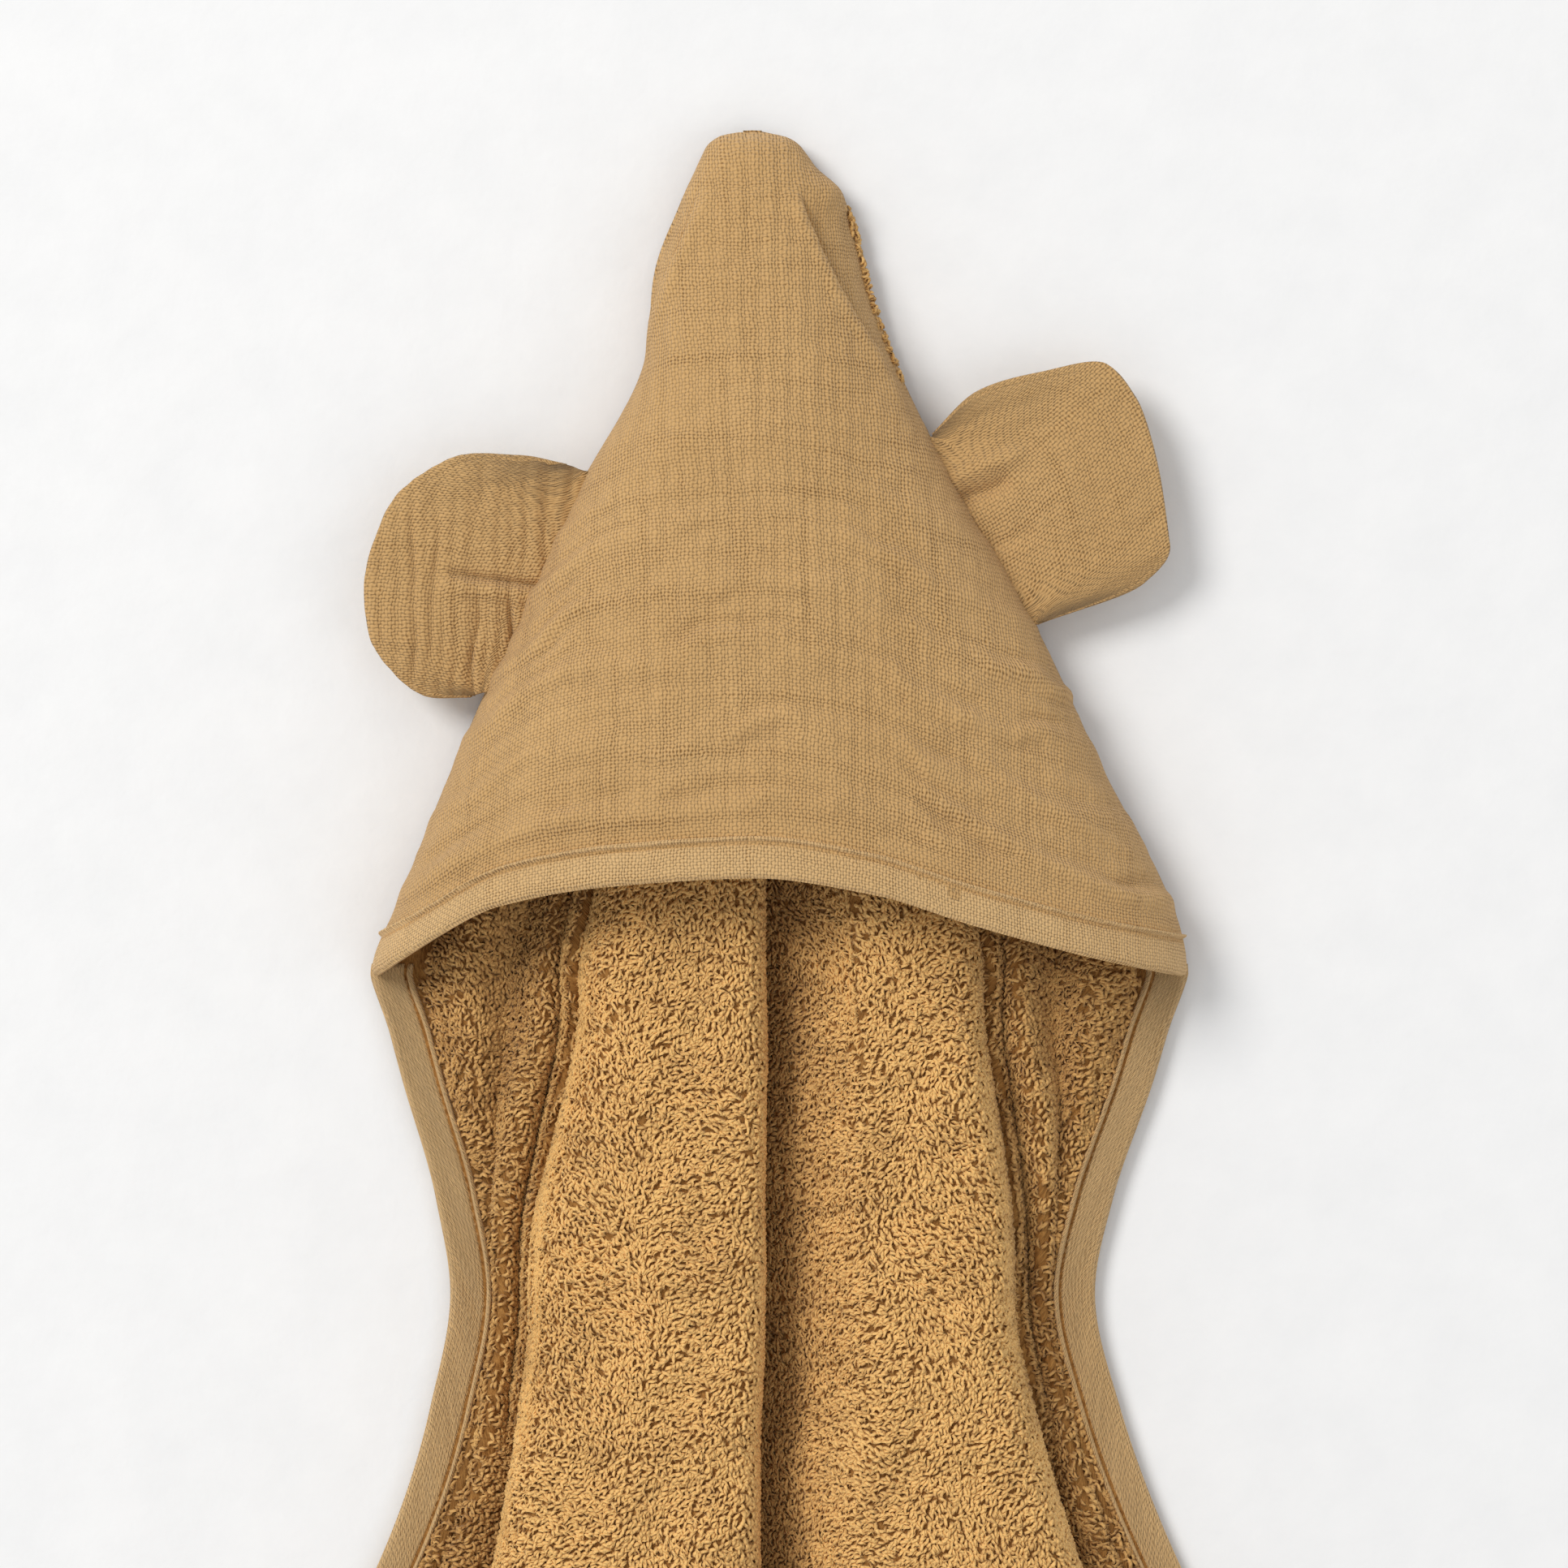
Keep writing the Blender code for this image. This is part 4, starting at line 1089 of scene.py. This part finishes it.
def make_side_binding(name, side_sign, finishes):
    """The tape down one side and along the hem, laid along the terry's lines."""
    lengthwise = np.linspace(0, 1, SIDE_STATIONS)[:, None]
    share = np.linspace(0, 1, BAND_POINTS)[None, :]
    line, down = binding_path(lengthwise, share, side_sign)
    down = down - CORNER_OVERLAP * (1 - smooth_step(lengthwise, 0.0, CORNER_SHARE))
    points = terry_point(line, down)
    points[..., 2] = np.maximum(points[..., 2], EDGE_LEVEL)
    near_corner = 1 - smooth_step(down, HOOD_DOWN, HOOD_DOWN + 0.018)
    points[..., 0] += side_sign * CORNER_BULGE * near_corner
    travelled = lengths_along(points, 0)
    relief = puckers(travelled, share, 52 + side_sign)
    half = binding_profile(share) + relief * smooth_step(share, 0, 0.2)
    places = np.stack([travelled, np.broadcast_to(share * BINDING_WIDTH, travelled.shape)], -1)
    strip = shell(f"binding_band_{name}", points, half, binding_profile(share) * BAND_BACK, places)
    use(strip, finishes["binding"], True)
    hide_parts(f"binding_{name}")
    seam = binding_seam(f"binding_stitches_{name}", points, half, 2)
    use(seam, finishes["thread"], True)
    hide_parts(f"stitch_{name}")
    return strip, seam


def ear_relief(side, x, down, outward):
    """Crinkles of an ear's front: ribs and a pinch on the left one, one tuck on the right."""
    if side < 0:
        fine = np.sin(2 * np.pi * x / 0.0043 + drift(x, down, 61, 0.03) * 1.8)
        relief = 0.00022 * fine
        inside = smooth_step(1 - outward, 0.03, 0.22)
        for number, (place, depth) in enumerate(LEFT_EAR_RIBS):
            wander = 0.0016 * drift(down * 0 + place, down, 62 + number, 0.05, 2)
            patchy = 0.55 + 0.45 * drift(down, down * 0, 72 + number, 0.03, 1)
            relief -= depth * patchy * inside * np.exp(-(((x - place - wander) / 0.00125) ** 2))
        relief -= 0.0024 * crease(x, down, (-0.104, 0.130), (-0.056, 0.137), 0.0016)
        relief += 0.0014 * crease(x, down, (-0.104, 0.134), (-0.056, 0.141), 0.0022)
    else:
        ribs = np.sin(2 * np.pi * (down + 0.3 * x) / 0.0065 + drift(x, down, 63, 0.03) * 2)
        relief = 0.00008 * ribs
        relief -= 0.0026 * crease(x, down, (0.046, 0.112), (0.070, 0.103), 0.0024)
        relief += 0.0016 * crease(x, down, (0.046, 0.105), (0.074, 0.094), 0.0030)
        relief -= 0.0012 * crease(x, down, (0.052, 0.126), (0.078, 0.118), 0.0040)
    seam = np.exp(-(((outward - 0.93) / 0.014) ** 2))
    return relief + drift(x, down, 64, 0.02, 2) * 0.00022 - 0.00018 * seam


def make_ear(name, side, finishes):
    """An ear's two muslin layers, sewn into the hood's seam at their root."""
    across = np.linspace(0, 1, EAR_GRID[0])[None, :]
    outward = np.linspace(0, 1, EAR_GRID[1])[:, None]
    root, rim = ear_root(side, across), ear_rim(side, across)
    points = root + (rim - root) * outward[..., None]
    points[..., 2] += EAR_CAMBER * np.sin(np.pi * across) * np.sin(np.pi * outward * 0.6)
    points[..., 0] -= side * EAR_TUCK * (1 - smooth_step(outward, 0, 0.12))
    x, down = points[..., 0], LAID_LENGTH / 2 - points[..., 1]
    relief = ear_relief(side, x, down, np.broadcast_to(outward, x.shape))
    round_off = np.minimum(np.minimum(across, 1 - across) * 6, (1 - outward) * 8)
    swell = np.sqrt(np.clip(1 - (1 - np.clip(round_off, 0, 1)) ** 2, 0, 1))
    half = EAR_LAYER_THICKNESS / 2
    level = half + CLEARANCE / 2
    made = []
    for label, way in (("front", 1), ("back", -1)):
        layer = points.copy()
        layer[..., 2] += way * level * (0.35 + 0.65 * swell) + relief * (1 if way > 0 else 0.6)
        obj = shell(f"{name}_muslin_{label}", layer, half, half, places_of(layer))
        use(obj, finishes["muslin"], False, name)
        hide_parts(f"{name}_{label}")
        made.append(obj)
    return made


def make_light(name, place, size, watts, colour):
    """A round area light that faces the lit centre."""
    data = bpy.data.lights.new(name, "AREA")
    data.shape = "DISK"
    data.size = size
    data.energy = watts
    data.color = colour
    obj = bpy.data.objects.new(name, data)
    obj.location = place
    way = np.array(LIT_CENTRE) - np.array(place)
    yaw = np.arctan2(way[1], way[0]) - np.pi / 2
    tilt = np.arctan2(np.hypot(way[0], way[1]), -way[2])
    obj.rotation_euler = (tilt, 0, yaw)
    bpy.context.scene.collection.objects.link(obj)


def make_studio():
    """A camera straight above the hood, white fill all round, a key light and a weak rim light."""
    scene = bpy.context.scene
    camera_data = bpy.data.cameras.new("camera")
    camera_data.lens = CAMERA_LENS
    camera_data.sensor_width = SENSOR
    camera = bpy.data.objects.new("camera", camera_data)
    camera.location = (VIEW_X, VIEW_Y, VIEW_LEVEL + VIEW_WIDTH * CAMERA_LENS / SENSOR)
    scene.collection.objects.link(camera)
    scene.camera = camera
    scene.view_settings.view_transform = "Standard"
    scene.view_settings.look = "None"
    world = bpy.data.worlds.new("studio")
    scene.world = world
    world.use_nodes = True
    background = world.node_tree.nodes["Background"]
    background.inputs["Color"].default_value = (1.0, 1.0, 1.0, 1.0)
    background.inputs["Strength"].default_value = FILL
    make_light("key", KEY_PLACE, KEY_SIZE, KEY_WATTS, KEY_COLOUR)
    make_light("rim", RIM_PLACE, RIM_SIZE, SIDE_WATTS, RIM_COLOUR)


def make_floor():
    steps = FLOOR_HALF * np.linspace(-1, 1, 9)
    grid = np.stack([*np.meshgrid(steps, steps), np.full((9, 9), FLOOR_Z)], -1)
    points, quads = grid.reshape(-1, 3), grid_quads(9, 9)
    floor = new_mesh("floor", points, quads, points[:, :2][quads])
    floor.data.materials.append(plaster("floor_plaster"))


def main():
    rng = np.random.default_rng(SEED)
    make_studio()
    make_floor()
    finishes = {
        "ground": terry_ground("terry_ground"),
        "loops": terry_loops("terry_loops"),
        "muslin": gauze("double_gauze", MUSLIN_LIGHT, MUSLIN_DARK, *MUSLIN_WEAVE),
        "binding": gauze("binding_gauze", BINDING_LIGHT, BINDING_DARK, *BINDING_WEAVE),
        "thread": sewing_thread("sewing_thread"),
    }
    cloth, piles = make_towel(finishes, rng)
    front, lining, lining_pile = make_hood(finishes, rng)
    fringe = make_fringe(finishes, rng)
    edge, edge_seam = make_hood_edge(finishes)
    left, left_seam = make_side_binding("left", -1, finishes)
    right, right_seam = make_side_binding("right", 1, finishes)
    ears = [*make_ear("ear_left", -1, finishes), *make_ear("ear_right", 1, finishes)]
    sewn_on = [*piles, fringe, left, right, left_seam, right_seam]
    sewn_on = [edge, edge_seam]
    sewn_on = [lining_pile]
    for layer, area in zip(ears, np.repeat(EAR_AREAS, 2)):
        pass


main()
